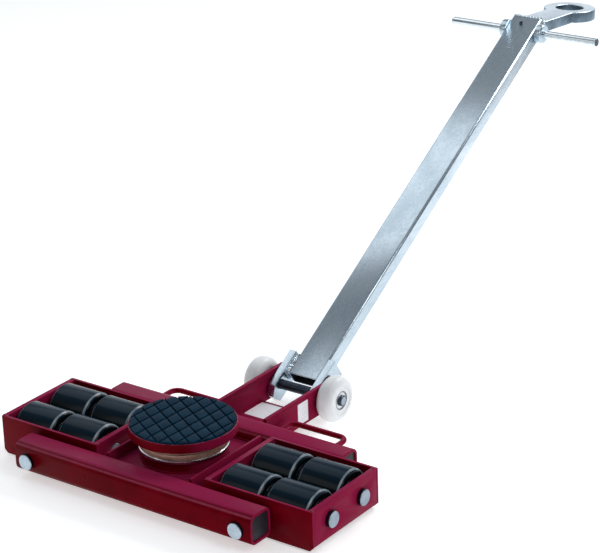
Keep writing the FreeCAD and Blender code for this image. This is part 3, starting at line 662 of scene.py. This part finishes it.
def makePadTree():
    # skewed blocks cut from a grid and trimmed to the round pad
    tree, given = startTree("padBlocks", padSizes)
    grid = make(tree, "GeometryNodeMeshGrid", {},
                {"Size X": 12.0, "Size Y": 12.0, "Vertices X": 13, "Vertices Y": 13})
    spot = make(tree, "GeometryNodeInputPosition")
    parts = make(tree, "ShaderNodeSeparateXYZ", {}, {0: spot.outputs[0]})
    column, row = out(tree, parts, "X"), out(tree, parts, "Y")

    def angled(kind, angle):
        return out(tree, make(tree, "ShaderNodeMath", {"operation": kind}, {0: given.outputs[angle]}))

    along, across = out(tree, given, "Along Row"), out(tree, given, "Across Row")
    x = (column * along * angled("COSINE", "Row Angle") + row * across * angled("COSINE", "Other Angle")
         + out(tree, given, "Shift X"))
    y = (column * along * angled("SINE", "Row Angle") + row * across * angled("SINE", "Other Angle")
         + out(tree, given, "Shift Y"))
    skewed = make(tree, "ShaderNodeCombineXYZ", {}, {"X": x, "Y": y})
    laid = make(tree, "GeometryNodeSetPosition", {},
                {"Geometry": grid.outputs["Mesh"], "Position": skewed.outputs[0]})
    apart = make(tree, "GeometryNodeSplitEdges", {}, {"Mesh": laid.outputs[0]})
    smaller = make(tree, "GeometryNodeScaleElements", {"domain": "FACE"},
                   {"Geometry": apart.outputs[0], "Scale": 1 - out(tree, given, "Groove")})
    raised = make(tree, "GeometryNodeExtrudeMesh", {"mode": "FACES"},
                  {"Mesh": smaller.outputs[0], "Offset Scale": given.outputs["Block Depth"],
                   "Individual": True})
    turned = make(tree, "GeometryNodeFlipFaces", {}, {"Mesh": smaller.outputs[0]})
    both = make(tree, "GeometryNodeJoinGeometry")
    tree.links.new(raised.outputs[0], both.inputs[0])
    tree.links.new(turned.outputs[0], both.inputs[0])
    closed = make(tree, "GeometryNodeMergeByDistance", {}, {"Geometry": both.outputs[0], "Distance": 1e-6})
    drum = make(tree, "GeometryNodeMeshCylinder", {},
                {"Vertices": 96, "Radius": given.outputs["Pad Radius"], "Depth": 0.05})
    trimmed = make(tree, "GeometryNodeMeshBoolean", {"operation": "INTERSECT", "solver": "EXACT"})
    tree.links.new(closed.outputs[0], trimmed.inputs["Mesh 2"])
    tree.links.new(drum.outputs["Mesh"], trimmed.inputs["Mesh 2"])
    endTree(tree, given, trimmed.outputs["Mesh"])
    return tree


weldTree, rodTree, ballTree, padTree = makeWeldTree(), makeRodTree(), makeBallTree(), makePadTree()


def pathMesh(name, paths):
    # loose paths, each a list of points; a closed one ends where it starts
    mesh = bpy.data.meshes.new(name)
    verts, edges = [], []
    for points in paths:
        shut = (Vector(points[0]) - Vector(points[-1])).length < 1e-7
        own = points[:-1] if shut else points
        first = len(verts)
        verts += [tuple(p) for p in own]
        edges += [(first + i, first + i + 1) for i in range(len(own) - 1)]
        if shut:
            edges.append((first + len(own) - 1, first))
    mesh.from_pydata(verts, edges, [])
    return mesh


def welds(name, paths, body, slot, finish, **sizes):
    mesh = grow(name, weldTree, pathMesh(name + "Path", paths), {**weldSizes, **sizes}, finish)
    return addPiece(name, mesh, body, (), (), 180)


def circlePath(centre, radius, axis=(0, 0, 1), steps=72):
    axis = Vector(axis).normalized()
    side = axis.orthogonal().normalized()
    other = axis.cross(side)
    turns = (2 * math.pi * i / steps for i in range(steps + 1))
    return [Vector(centre) + radius * (side * math.cos(a) + other * math.sin(a)) for a in turns]


# frame: cross beams, plates, plugs

beamLook = {"corner": 14 * mm, "wall": 6 * mm, "softEnd": 0.8 * mm}


def makeBeams():
    for node, name in (("front_beam", "frontBeam"), ("rear_beam", "rearBeam")):
        low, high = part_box(node)
        centre = (low + high) / 2
        boxTube(name, high.y - low.y, high.z - low.z, beamLook, low.x - centre.x, high.x - centre.x,
                Matrix.Translation(centre), "chassis", node, [redBeam, redPaint])
    softened("beamPlugs", "beam_end_plugs", 1.6 * mm, "chassis",
             [blackPlastic, blackPlastic], 3)


def makePlates():
    for node, name, width in (("centre_plate", "centrePlate", 0.8), ("left_rib", "leftRib", 0.7),
                              ("right_rib", "rightRib", 0.7), ("left_arm", "leftArm", 1.1),
                              ("right_arm", "rightArm", 1.1), ("bridge_plate", "bridgePlate", 0.9)):
        softened(name, node, width * mm, "chassis", [redPaint, redEdge])
    for hand in ("left", "right"):
        for part in ("side", "end"):
            softened(f"{hand}{part.capitalize()}Plates", f"{hand}_{part}_plates", 1.0 * mm,
                     f"{hand}_carriage", [redPaint, redEdge])


handleLook = {"Rod Radius": 5 * mm, "Bend Radius": 16 * mm}


def makeCarryHandles():
    for hand in ("left", "right"):
        low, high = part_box(f"{hand}_carry_handle")
        rod = handleLook["Rod Radius"]
        height = (low.z + high.z) / 2
        path = [(low.x + rod, low.y, height), (low.x + rod, high.y - rod, height),
                (high.x - rod, high.y - rod, height), (high.x - rod, low.y, height)]
        mesh = grow(f"{hand}CarryHandle", rodTree, pathMesh(f"{hand}CarryPath", [path]), handleLook, redPaint)
        addPiece(f"{hand}CarryHandle", mesh, "chassis", [f"{hand}_carry_handle"], (), 60)


# pins, axles and rollers

pinLook = {"chamfer": 1.1 * mm, "dimple": 1.6 * mm, "dimpleDepth": 0.5 * mm}


def barOutline(start, end, radius):
    # a sawn bar: dark sides, machined bright ends with a broken edge and a centre mark
    chamfer, mark, deep = pinLook["chamfer"], pinLook["dimple"], pinLook["dimpleDepth"]
    return [(start + deep, 0, 0), (start, mark, 0), (start, radius - chamfer, 0),
            (start + chamfer, radius, 1), (end - chamfer, radius, 0), (end, radius - chamfer, 0),
            (end, mark, 0), (end - deep, 0, 0)]


def makePins():
    bm = bmesh.new()
    for low, high in solidsOf("pivot_pins"):
        centre = (low + high) / 2
        half = (high.y - low.y) / 2
        turnOutline(bm, barOutline(-half, half, (high.x - low.x) / 2), centre, (0, 1, 0), 56, False)
    addPiece("pivotPins", toMesh(bm, "pivotPins"), "chassis", ["pivot_pins"],
             [endPaintedLit, blackBar])
    for hand in ("left", "right"):
        bm = bmesh.new()
        for low, high in solidsOf(f"{hand}_roller_axles"):
            centre = (low + high) / 2
            half = (high.x - low.x) / 2
            turnOutline(bm, barOutline(-half, half, (high.z - low.z) / 2), centre, (1, 0, 0), 56, False)
        addPiece(f"{hand}RollerAxles", toMesh(bm, f"{hand}RollerAxles"), f"{hand}_carriage",
                 [f"{hand}_roller_axles"], [endPaintedShade, blackBar])
        bm = bmesh.new()
        for low, high in solidsOf(f"{hand}_axle_spacers"):
            centre = (low + high) / 2
            half = (high.x - low.x) / 2
            outer = (high.z - low.z) / 2
            ring = [(-half, outer - 4 * mm), (-half, outer), (half, outer), (half, outer - 4 * mm)]
            turnOutline(bm, filleted(ring + ring[:1], 0.5 * mm)[:-1], centre, (1, 0, 0), 40, True)
        addPiece(f"{hand}AxleSpacers", toMesh(bm, f"{hand}AxleSpacers"), f"{hand}_carriage",
                 [f"{hand}_axle_spacers"], [blackBar])


rollerLook = {
    "chamfer": 5 * mm, "rim": 2.6 * mm, "bearing": 29 * mm, "seat": 8 * mm, "bore": 14.1 * mm, "steps": 96,
}


def rollerOutline(half, radius):
    # the outer half of each chamfer takes a painted highlight, the light rim
    chamfer, rim, bore = rollerLook["chamfer"], rollerLook["rim"], rollerLook["bearing"]
    deep = half - rollerLook["seat"]
    return filleted([(-deep, bore, 0), (-half, bore, 0), (-half, radius - chamfer, 0),
                     (-half + chamfer - rim, radius - rim, 1), (-half + chamfer, radius, 0),
                     (half - chamfer, radius, 1), (half - chamfer + rim, radius - rim, 0),
                     (half, radius - chamfer, 0), (half, bore, 0), (deep, bore, 0)], 0.9 * mm, 3)


def bearingOutlines(half, outer, inner):
    # outer ring, shield set in a little, inner ring
    wall = (outer - inner) * 0.24
    shield = half - 0.7 * mm
    rings = []
    for end, far, near, tag in ((half, outer, outer - wall, 0), (shield, outer - wall, inner + wall, 1),
                                (half, inner + wall, inner, 0)):
        box = [(-end, near, tag), (-end, far, tag), (end, far, tag), (end, near, tag)]
        rings.append(filleted(box + box[:1], 0.35 * mm, 2)[:-1])
    return rings


def makeRollers():
    for hand in ("left", "right"):
        for row in ("front", "rear"):
            for spot in ("inner", "outer"):
                tail = f"{hand}_{row}_{spot}"
                name = "".join(word.capitalize() for word in tail.split("_"))
                low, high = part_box(f"roller_{tail}")
                centre = (low + high) / 2
                half = (high.x - low.x) / 2
                lathe("roller" + name, [rollerOutline(half, (high.z - low.z) / 2)], centre, (1, 0, 0),
                      f"roller_{tail}_body", [f"roller_{tail}"], [rollerNylon, rollerRim],
                      rollerLook["steps"])
                bm = bmesh.new()
                for a, b in solidsOf(f"bearings_{tail}"):
                    half, outer = (b.x - a.x) / 2, (b.z - a.z) / 2
                    for ring in bearingOutlines(half, outer, rollerLook["bore"]):
                        turnOutline(bm, ring, (a + b) / 2, (1, 0, 0), 48, True)
                addPiece("bearings" + name, toMesh(bm, "bearings" + name), f"roller_{tail}_body",
                         [f"bearings_{tail}"], [ringSteel, sealRubber])


# turntable

turntableLook = {
    "discRound": 1.4 * mm, "ringRound": 0.8 * mm, "raceRound": 1.0 * mm, "seatRound": 3.6 * mm,
    "hubBore": 30 * mm, "raceBore": 62 * mm, "upperBore": 60 * mm,
}


def ringOutline(node, bore, soft, tag=0):
    low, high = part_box(node)
    outer = (high.x - low.x) / 2
    box = [(low.z, bore, tag), (low.z, outer, tag), (high.z, outer, tag), (high.z, bore, tag)]
    return filleted(box + box[:1], soft, 3)[:-1]


def makeTurntable():
    up = (0, 0, 1)
    soft = turntableLook["ringRound"]
    hub = ringOutline("turntable_hub", turntableLook["hubBore"], soft)
    lathe("turntableHub", [hub], (0, 0, 0), up, "chassis", ["turntable_hub"], [redPaint],
          128, True)
    seat = ringOutline("bearing_seat", turntableLook["hubBore"], turntableLook["seatRound"])
    lathe("bearingSeat", [seat], (0, 0, 0), up, "chassis", ["bearing_seat"], [ringSteel],
          128, True)
    bore = turntableLook["raceBore"]
    lathe("lowerRace", [ringOutline("lower_race", bore, turntableLook["raceRound"])], (0, 0, 0), up,
          "chassis", ["lower_race"], [bronze], 128, True)
    race = ringOutline("upper_race", turntableLook["upperBore"], soft)
    lathe("upperRace", [race], (0, 0, 0), up, "turntable", ["upper_race"], [raceSteel],
          128, True)
    cageLow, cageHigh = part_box("ball_cage")
    seed = pathMesh("turntablePath", [[(0, 0, 0), (0, 0, mm)]])
    balls = grow("bearingBalls", ballTree, seed, ballSizes, ballSteel)
    balls.transform(Matrix.Translation((0, 0, (cageLow.z + cageHigh.z) / 2)))
    addPiece("bearingBalls", balls, "ball_set", ["bearing_balls"], (), 180)
    low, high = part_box("turntable_disc")
    padLow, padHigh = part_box("turntable_pad")
    outer, padRadius = (high.x - low.x) / 2, (padHigh.x - padLow.x) / 2
    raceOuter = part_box("upper_race")[1].x + 0.1 * mm
    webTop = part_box("upper_race")[1].z
    # the top land and the step round the pad take the edge finish: wear, and a painted highlight along the
    # rim
    outline = [(webTop, bore, 0), (webTop, raceOuter, 0), (low.z, raceOuter, 0), (low.z, outer, 0),
               (high.z, outer, 1), (high.z, padRadius, 1), (padLow.z, padRadius, 0), (padLow.z, bore, 0)]
    disc = filleted(outline + outline[:1], turntableLook["discRound"], 4)[:-1]
    lathe("turntableDisc", [disc], (0, 0, 0), up, "turntable", ["turntable_disc"],
          [redPaint, redEdge], 160, True)
    depth = padSizes["Block Depth"]
    edge = padRadius - 0.1 * mm
    floorOutline = filleted([(padLow.z, 0, 0), (padLow.z, edge, 0), (padHigh.z - depth, edge, 0),
                             (padHigh.z - depth, 0, 0)], 0.6 * mm)
    bm = bmesh.new()
    turnOutline(bm, floorOutline, (0, 0, 0), up, 128, False)
    base = toMesh(bm, "padBase")
    blocks = grow("padBlocks", padTree, seed, padSizes, padRubber)
    blocks.transform(Matrix.Translation((0, 0, padHigh.z - depth)))
    bm = bmesh.new()
    bm.from_mesh(blocks)
    bmesh.ops.remove_doubles(bm, verts=bm.verts, dist=1e-5)
    soft = bevelled(bm, "padBlocksSoft", 0.7 * mm, 2)
    bm = bmesh.new()
    bm.from_mesh(soft)
    bm.from_mesh(base)
    mesh = bpy.data.meshes.new("turntablePad")
    bm.to_mesh(mesh)
    bm.free()
    addPiece("turntablePad", mesh, "turntable", ["turntable_pad"], [padRubber, padEdge])


# hinge, support wheels

wheelLook = {
    "round": 13 * mm, "hubStep": 1.6 * mm, "hubRadius": 25 * mm, "bearing": 17.5 * mm, "bore": 7.6 * mm,
    "steps": 96,
}


def makeWheels():
    for hand in ("left", "right"):
        node = f"{hand}_support_wheel"
        low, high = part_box(node)
        centre = (low + high) / 2
        half, radius = (high.x - low.x) / 2, (high.z - low.z) / 2
        step, hub, seat, curve = (wheelLook[k] for k in ("hubStep", "hubRadius", "bearing", "round"))
        outline = [(-half + 5 * mm, seat, 0), (-half + step, seat, 0), (-half + step, hub, 0),
                   (-half, hub + 2 * mm, 0)]
        for sign in (-1, 1):
            for i in range(13):
                angle = math.pi / 2 * (i / 12 if sign < 0 else 1 - i / 12)
                outline.append((sign * (half - curve + curve * math.cos(angle)),
                                radius - curve + curve * math.sin(angle), 0))
        outline += [(half, hub + 2 * mm, 0), (half - step, hub, 0), (half - step, seat, 0),
                    (half - 5 * mm, seat, 0)]
        lathe(f"{hand}SupportWheel", [outline], centre, (1, 0, 0), f"{hand}_wheel", [node],
              [whiteNylon], wheelLook["steps"])
        bm = bmesh.new()
        for a, b in solidsOf(f"{hand}_wheel_bearings"):
            for ring in bearingOutlines((b.x - a.x) / 2, (b.z - a.z) / 2, wheelLook["bore"]):
                turnOutline(bm, ring, (a + b) / 2, (1, 0, 0), 48, True)
        addPiece(f"{hand}WheelBearings", toMesh(bm, f"{hand}WheelBearings"), f"{hand}_wheel",
                 [f"{hand}_wheel_bearings"], [raceSteel, shieldSteel])


clipLook = {"gap": 26, "band": 2.3 * mm}      # the gap is half of it, in degrees


hingeLook = {"shoulder": 1.5 * mm, "mark": 1.5 * mm, "dimple": 1.2 * mm, "broken": 0.9 * mm}


def makeHinge():
    low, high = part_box("hinge_axle")
    centre = (low + high) / 2
    end, arm = high.x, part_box("right_arm")[1].x
    thick = (high.z - low.z) / 2
    thin = thick - hingeLook["shoulder"]
    mark, broken = hingeLook["mark"], hingeLook["broken"]
    outline = [(-end + hingeLook["dimple"], 0, 0), (-end, mark, 0), (-end, thin - broken, 0),
               (-end + broken, thin, 0), (-arm, thin, 1), (-arm, thick, 1), (arm, thick, 1), (arm, thin, 0),
               (end - broken, thin, 0), (end, thin - broken, 0), (end, mark, 0),
               (end - hingeLook["dimple"], 0, 0)]
    lathe("hingeAxle", [outline], centre, (1, 0, 0), "chassis", ["hinge_axle"],
          [endPaintedShade, blackBar], 56)
    bm = bmesh.new()
    for a, b in solidsOf("hinge_spacers"):
        spot = (a + b) / 2
        half, outer = (b.x - a.x) / 2, (b.z - a.z) / 2
        ring = [(-half, thick, 0), (-half, outer, 0), (half, outer, 0), (half, thick, 0)]
        turnOutline(bm, filleted(ring + ring[:1], 0.8 * mm)[:-1], spot, (1, 0, 0), 48, True)
    addPiece("hingeSpacers", toMesh(bm, "hingeSpacers"), "chassis", ["hinge_spacers"],
             [blackBar])
    bm = bmesh.new()
    for a, b in solidsOf("axle_circlips"):
        makeClip(bm, a, b, thin - 0.6 * mm)
    bevel = bevelled(bm, "axleCirclips", 0.2 * mm, 1)
    addPiece("axleCirclips", bevel, "chassis", ["axle_circlips"], [blackBar, blackBar])


def makeClip(bm, low, high, inner):
    # a spring clip: an open ring, deeper opposite its gap, with two lugs
    outer = (high.z - low.z) / 2
    centre = (low + high) / 2
    gap = math.radians(clipLook["gap"])
    steps = 36
    rings = []
    for i in range(steps + 1):
        angle = gap + (2 * math.pi - 2 * gap) * i / steps
        lug = i in (0, 1, steps - 1, steps)
        far = outer - 0.02 * mm if lug else inner + clipLook["band"] * (0.75 + 0.35 * math.sin(angle / 2))
        ring = []
        for x, r in ((low.x, inner), (low.x, far), (high.x, far), (high.x, inner)):
            ring.append(bm.verts.new((x, centre.y + r * math.sin(angle), centre.z + r * math.cos(angle))))
        rings.append(ring)
    for a, b in zip(rings, rings[1:]):
        for i in range(4):
            j = (i + 1) % 4
            bm.faces.new((a[i], a[j], b[j], b[i]))
    bm.faces.new(rings[0])
    bm.faces.new(rings[-1])


# drawbar

barFrame = Matrix.Translation(hinge) @ Matrix((Vector((1, 0, 0)), alongBar, Vector((1, 0, 0)).cross(alongBar))
                                              ).transposed().to_4x4()
barLook = {"corner": 5 * mm, "wall": 3 * mm, "softEnd": 0.5 * mm}


def barBox(node):
    # the corners of a drawbar node in the drawbar's own frame
    inverse = barFrame.inverted()
    points = [inverse @ v.co for v in frame["nodes"][node].data.vertices]
    return (Vector([min(p[k] for p in points) for k in range(3)]),
            Vector([max(p[k] for p in points) for k in range(3)]))


def makeDrawbar():
    low, high = barBox("drawbar_tube")
    centre = (low + high) / 2
    lengthwise = barFrame @ Matrix.Translation((0, 0, centre.z)) @ Matrix.Rotation(math.pi / 2, 4, "Z")
    boxTube("drawbarTube", high.x - low.x, high.z - low.z, barLook, low.y, high.y,
            lengthwise, "drawbar", "drawbar_tube", [zinc, tubeInsideShade])
    softened("drawbarEndCap", "drawbar_end_cap", 0.8 * mm, "drawbar", [zincPlate, zincEdge])
    for hand in ("left", "right"):
        softened(f"{hand}Cheek", f"{hand}_cheek", 1.3 * mm, "drawbar", [zincPlate, zincEdge], 3)
    mesh = bevelled(mergedCopy("towing_eye"), "towingEye", 1.8 * mm, 3)
    lift = Vector(mounts["towing_eye"]["axis"])
    for face in mesh.polygons:
        if abs(face.normal.dot(lift)) < 0.3:
            face.material_index = 2      # painted dark reflection on the plate's side faces
        elif face.normal.dot(lift) > 0.99:
            face.material_index = 1      # the upward face takes the lighter edge finish, a painted highlight
    addPiece("towingEye", mesh, "drawbar", ["towing_eye"], [zincPlate, zincEdge, eyeSideDarkReflection])
    low, high = barBox("t_handle_bar")
    centre = barFrame @ ((low + high) / 2)
    half, radius = (high.x - low.x) / 2, (high.z - low.z) / 2
    outline = filleted([(-half, 0, 1), (-half, radius - 0.8 * mm, 1), (-half + 0.8 * mm, radius, 0),
                        (half - 0.8 * mm, radius, 1), (half, radius - 0.8 * mm, 1), (half, 0, 1)], 0.4 * mm)
    lathe("tHandleBar", [outline], centre, (1, 0, 0), "drawbar", ["t_handle_bar"],
          [zincTurned, sawnEnd], 48)
    bm = bmesh.new()
    low, high = barBox("handle_collars")
    tubeHalf = barBox("drawbar_tube")[1].x
    for side in (-1, 1):
        wide = (high.z - low.z) / 2
        inside, outside = tubeHalf, high.x
        box = [(inside, radius, 0), (inside, wide, 0), (outside - 2 * mm, wide, 0),
               (outside, wide - 2 * mm, 0), (outside, radius, 0)]
        ring = filleted(box + box[:1], 0.6 * mm)[:-1]
        turnOutline(bm, ring, centre, (side, 0, 0), 64, True)
    addPiece("handleCollars", toMesh(bm, "handleCollars"), "drawbar", ["handle_collars"],
             [zincPlate])
    makeRollPin()


rollPin = {
    "place": (-6 * mm, 932 * mm), "outer": 4.0 * mm, "inner": 2.2 * mm, "stand": 0.7 * mm, "deep": 2 * mm,
}


def makeRollPin():
    # the spring pin that holds the cross bar
    top = barBox("drawbar_tube")[1].z
    spot = barFrame @ Vector((rollPin["place"][0], rollPin["place"][1], top))
    axis = barFrame.to_3x3() @ Vector((0, 0, 1))
    box = [(-rollPin["deep"], rollPin["inner"], 0), (-rollPin["deep"], rollPin["outer"], 0),
           (rollPin["stand"], rollPin["outer"], 0), (rollPin["stand"], rollPin["inner"], 0)]
    lathe("crossBarRollPin", [filleted(box + box[:1], 0.4 * mm)[:-1]], spot, axis, "drawbar",
          (), [blackBar], 32, True)


zincTurned = newMaterial("zincTurned", metal, turnedNodes, (0.74, 0.80, 0.84), (0.62, 0.69, 0.74),
                         0.07, 300, 0.000004)
sawnEnd = newMaterial("sawnEnd", metal, turnedNodes, (0.16, 0.19, 0.22), (0.09, 0.11, 0.13), 0.35)


# welds

def makeWelds():
    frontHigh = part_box("front_beam")[1]
    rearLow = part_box("rear_beam")[0]
    plateLow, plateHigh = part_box("centre_plate")
    ribLow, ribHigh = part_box("right_rib")
    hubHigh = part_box("turntable_hub")[1]
    armLow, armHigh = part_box("right_arm")
    bridgeLow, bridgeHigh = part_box("bridge_plate")
    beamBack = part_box("rear_beam")[1].y
    red = []
    red.append(circlePath((0, 0, plateHigh.z), hubHigh.x + 0.5 * mm, steps=120))
    for y in (frontHigh.y, rearLow.y):
        red.append([(plateLow.x + 2 * mm, y, plateHigh.z), (plateHigh.x - 2 * mm, y, plateHigh.z)])
    for side in (-1, 1):
        red.append([(side * plateHigh.x, plateLow.y + 2 * mm, plateHigh.z),
                    (side * plateHigh.x, plateHigh.y - 2 * mm, plateHigh.z)])
        for x in (side * armHigh.x, side * (armLow.x)):
            red.append([(x, beamBack, armLow.z + 9 * mm), (x, beamBack, armHigh.z - 9 * mm)])
        red.append([(side * bridgeHigh.x, bridgeLow.y + 12 * mm, bridgeHigh.z),
                    (side * bridgeHigh.x, bridgeHigh.y - 3 * mm, bridgeHigh.z)])
        for y in (frontHigh.y, rearLow.y):
            red.append([(side * ribHigh.x, y, ribLow.z + 2 * mm), (side * ribHigh.x, y, ribHigh.z - 10 * mm)])
        handleLow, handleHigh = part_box("left_carry_handle" if side < 0 else "right_carry_handle")
        rod = handleLook["Rod Radius"]
        for x in (handleLow.x + rod, handleHigh.x - rod):
            red.append(circlePath((x, beamBack + 0.5 * mm, (handleLow.z + handleHigh.z) / 2), rod + 0.6 * mm,
                                  (0, 1, 0), 24))
    welds("chassisWelds", red, "chassis", "red_paint", redPaint, Width=5.0 * mm, Pitch=2.6 * mm)
    for hand in ("left", "right"):
        endLow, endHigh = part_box(f"{hand}_end_plates")
        sideLow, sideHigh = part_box(f"{hand}_side_plates")
        runs = []
        for low, high in solidsOf(f"{hand}_end_plates"):
            inner = high.x if low.x < (sideLow.x + sideHigh.x) / 2 else low.x
            for y in (endLow.y, endHigh.y):
                runs.append([(inner, y, low.z + 3 * mm), (inner, y, high.z - 4 * mm)])
                runs.append([(low.x + 1.5 * mm, y, high.z - 0.9 * mm),
                             (high.x - 1.5 * mm, y, high.z - 0.9 * mm)])
        welds(f"{hand}CarriageWelds", runs, f"{hand}_carriage", "red_paint", redEdge,
              Width=4.2 * mm, Pitch=2.4 * mm, Height=0.42)
    makeDrawbarWelds()


def makeDrawbarWelds():
    tubeLow, tubeHigh = barBox("drawbar_tube")
    cheekHigh = barBox("right_cheek")[1]
    capHigh = barBox("drawbar_end_cap")[1]
    runs = []
    for side in (-1, 1):
        x = side * (tubeHigh.x + 1.2 * mm)
        corner = tubeHigh.z - 1.5 * mm
        for rise, shift in ((0, 0), (2.2 * mm, side * 1.0 * mm)):
            runs.append([(x + shift, tubeLow.y + 2 * mm, corner + rise),
                         (x + shift, cheekHigh.y - 3 * mm, corner + rise)])
        runs.append([(x, cheekHigh.y - 1 * mm, tubeLow.z + 5 * mm), (x, cheekHigh.y - 1 * mm, corner)])
    section = roundedSection(tubeHigh.x * 2 - 7 * mm, tubeHigh.z - tubeLow.z - 7 * mm, 3 * mm)
    height = (tubeLow.z + tubeHigh.z) / 2
    ring = [Vector((p.x, tubeHigh.y + 0.6 * mm, height + p.y)) for p in section]
    runs.append(ring + ring[:1])
    eye = Vector(mounts["towing_eye"]["pos_m"])
    lift = Vector(mounts["towing_eye"]["axis"])
    neck = (Vector((1, 0, 0)).cross(lift)).normalized()
    if neck.y > 0:
        neck = -neck
    inverse = barFrame.inverted()
    half = mounts["towing_eye"]["dims"]["length_mm"] * mm / 2
    edges = []
    for face in (1, -1):
        start = inverse @ (eye + lift * half * face)
        heading = (inverse.to_3x3() @ neck)
        reach = (capHigh.y - start.y) / heading.y
        edges.append(start + heading * reach)
    neckHalf = neckWidth(inverse, capHigh.y)
    for edge in edges:
        runs.append([(-neckHalf, edge.y + 0.4 * mm, edge.z), (neckHalf, edge.y + 0.4 * mm, edge.z)])
    turned = [[barFrame @ Vector(p) for p in run] for run in runs]
    welds("drawbarWelds", turned, "drawbar", "zinc_steel", zincEdge,
          Width=6.4 * mm, Pitch=3.4 * mm, Height=0.5)


def neckWidth(inverse, capFace):
    points = [inverse @ v.co for v in frame["nodes"]["towing_eye"].data.vertices]
    return max(p.x for p in points if p.y < capFace + 40 * mm)


# labels, left blank

labels = {      # millimetres on the face that carries them
    "ratingLabel": {"across": (-49, 49), "up": (228, 283), "lift": 0.25, "round": 2.5, "skirt": 1.002},
    "armLabel": {"across": (241, 271), "up": (19, 59), "lift": 0.25, "round": 1.5, "skirt": 1.002},
}


def makeLabels():
    bridge = Matrix.Translation((0, 0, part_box("bridge_plate")[1].z))
    arm = Matrix(((0, 0, 1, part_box("right_arm")[1].x), (1, 0, 0, 0), (0, 1, 0, 0), (0, 0, 0, 1)))
    for name, place in (("ratingLabel", bridge), ("armLabel", arm)):
        look = labels[name]
        (left, right), (low, high) = look["across"], look["up"]
        section = roundedSection((right - left) * mm, (high - low) * mm, look["round"] * mm, 5)
        centre = Vector(((left + right) / 2, (low + high) / 2)) * mm
        bm = bmesh.new()
        upper = [bm.verts.new(place @ Vector((*(centre + p), look["lift"] * mm))) for p in section]
        lower = [bm.verts.new(place @ Vector((*(centre + p * look["skirt"]), 0))) for p in section]
        bm.faces.new(upper)
        bm.faces.new(lower)
        for i in range(len(section)):
            j = (i + 1) % len(section)
            bm.faces.new((upper[i], upper[j], lower[j], lower[i]))
        addPiece(name, toMesh(bm, name), "chassis", (), [labelFilm])


def hiddenFinishes():
    # sealed parts keep their shape and get a real finish
    for node, material in (("king_bolt", zincPlate), ("king_bolt_washer", zincPlate), ("ball_cage", bronze)):
        mesh = frame["nodes"][node].data
        mesh.materials.clear()
        mesh.materials.append(material)


def makeStudio():
    bm = bmesh.new()
    bmesh.ops.create_grid(bm, x_segments=2, y_segments=2, size=studio["floorSize"] / 2)
    mesh = bpy.data.meshes.new("floor")
    bm.to_mesh(mesh)
    bm.free()
    mesh.transform(Matrix.Translation((0, 0, -studio["floorGap"])))
    floor = bpy.data.objects.new("floor", mesh)
    paper = {"Base Color": studio["floorColour"], "Specular IOR Level": 0.1,
             "Emission Color": (1, 1, 1), "Emission Strength": studio["floorGlow"]}
    mesh.materials.append(newMaterial("paper", paper, lambda tree: {
        "Roughness": 0.8 + noise(tree, objectSpot(tree), 3) * 0.1}))
    scene.collection.objects.link(floor)
    for number, (place, aim, wide, tall, power, colour) in enumerate(studio["softboxes"]):
        lamp = bpy.data.lights.new(f"softbox{number}", "AREA")
        lamp.shape = "RECTANGLE"
        lamp.size, lamp.size_y = wide, tall
        lamp.energy = power
        lamp.color = colour
        holder = bpy.data.objects.new(f"softbox{number}", lamp)
        holder.location = place
        holder.rotation_mode = "QUATERNION"
        holder.rotation_quaternion = (Vector(aim) - Vector(place)).to_track_quat("-Z", "Y")
        scene.collection.objects.link(holder)
    world = bpy.data.worlds.new("studio")
    world.use_nodes = True
    tree = world.node_tree
    tree.nodes.clear()
    coordinates = make(tree, "ShaderNodeTexCoord")
    parts = make(tree, "ShaderNodeSeparateXYZ", {}, {0: coordinates.outputs["Generated"]})
    x, y, z = (out(tree, parts, axis) for axis in "XYZ")
    away = between(tree, y * 0.8 - x * 0.6, -0.25, 0.55)       # towards the lit backdrop
    low = studio["room"] + away * (studio["backdrop"] - studio["room"])
    rise = between(tree, z, 0.30, 0.62)
    strength = low * (1 - rise) + rise * studio["ceiling"]
    sky = make(tree, "ShaderNodeBackground", {}, {"Color": studio["sky"], "Strength": strength})
    make(tree, "ShaderNodeOutputWorld", {}, {"Surface": sky.outputs[0]})
    scene.world = world
    scene.view_settings.view_transform = "Standard"


makeCamera()
makeStudio()
for stage in (makeBeams, makePlates, makeCarryHandles, makePins, makeRollers, makeTurntable, makeWheels,
              makeHinge, makeDrawbar, makeWelds, makeLabels, hiddenFinishes):
    stage()
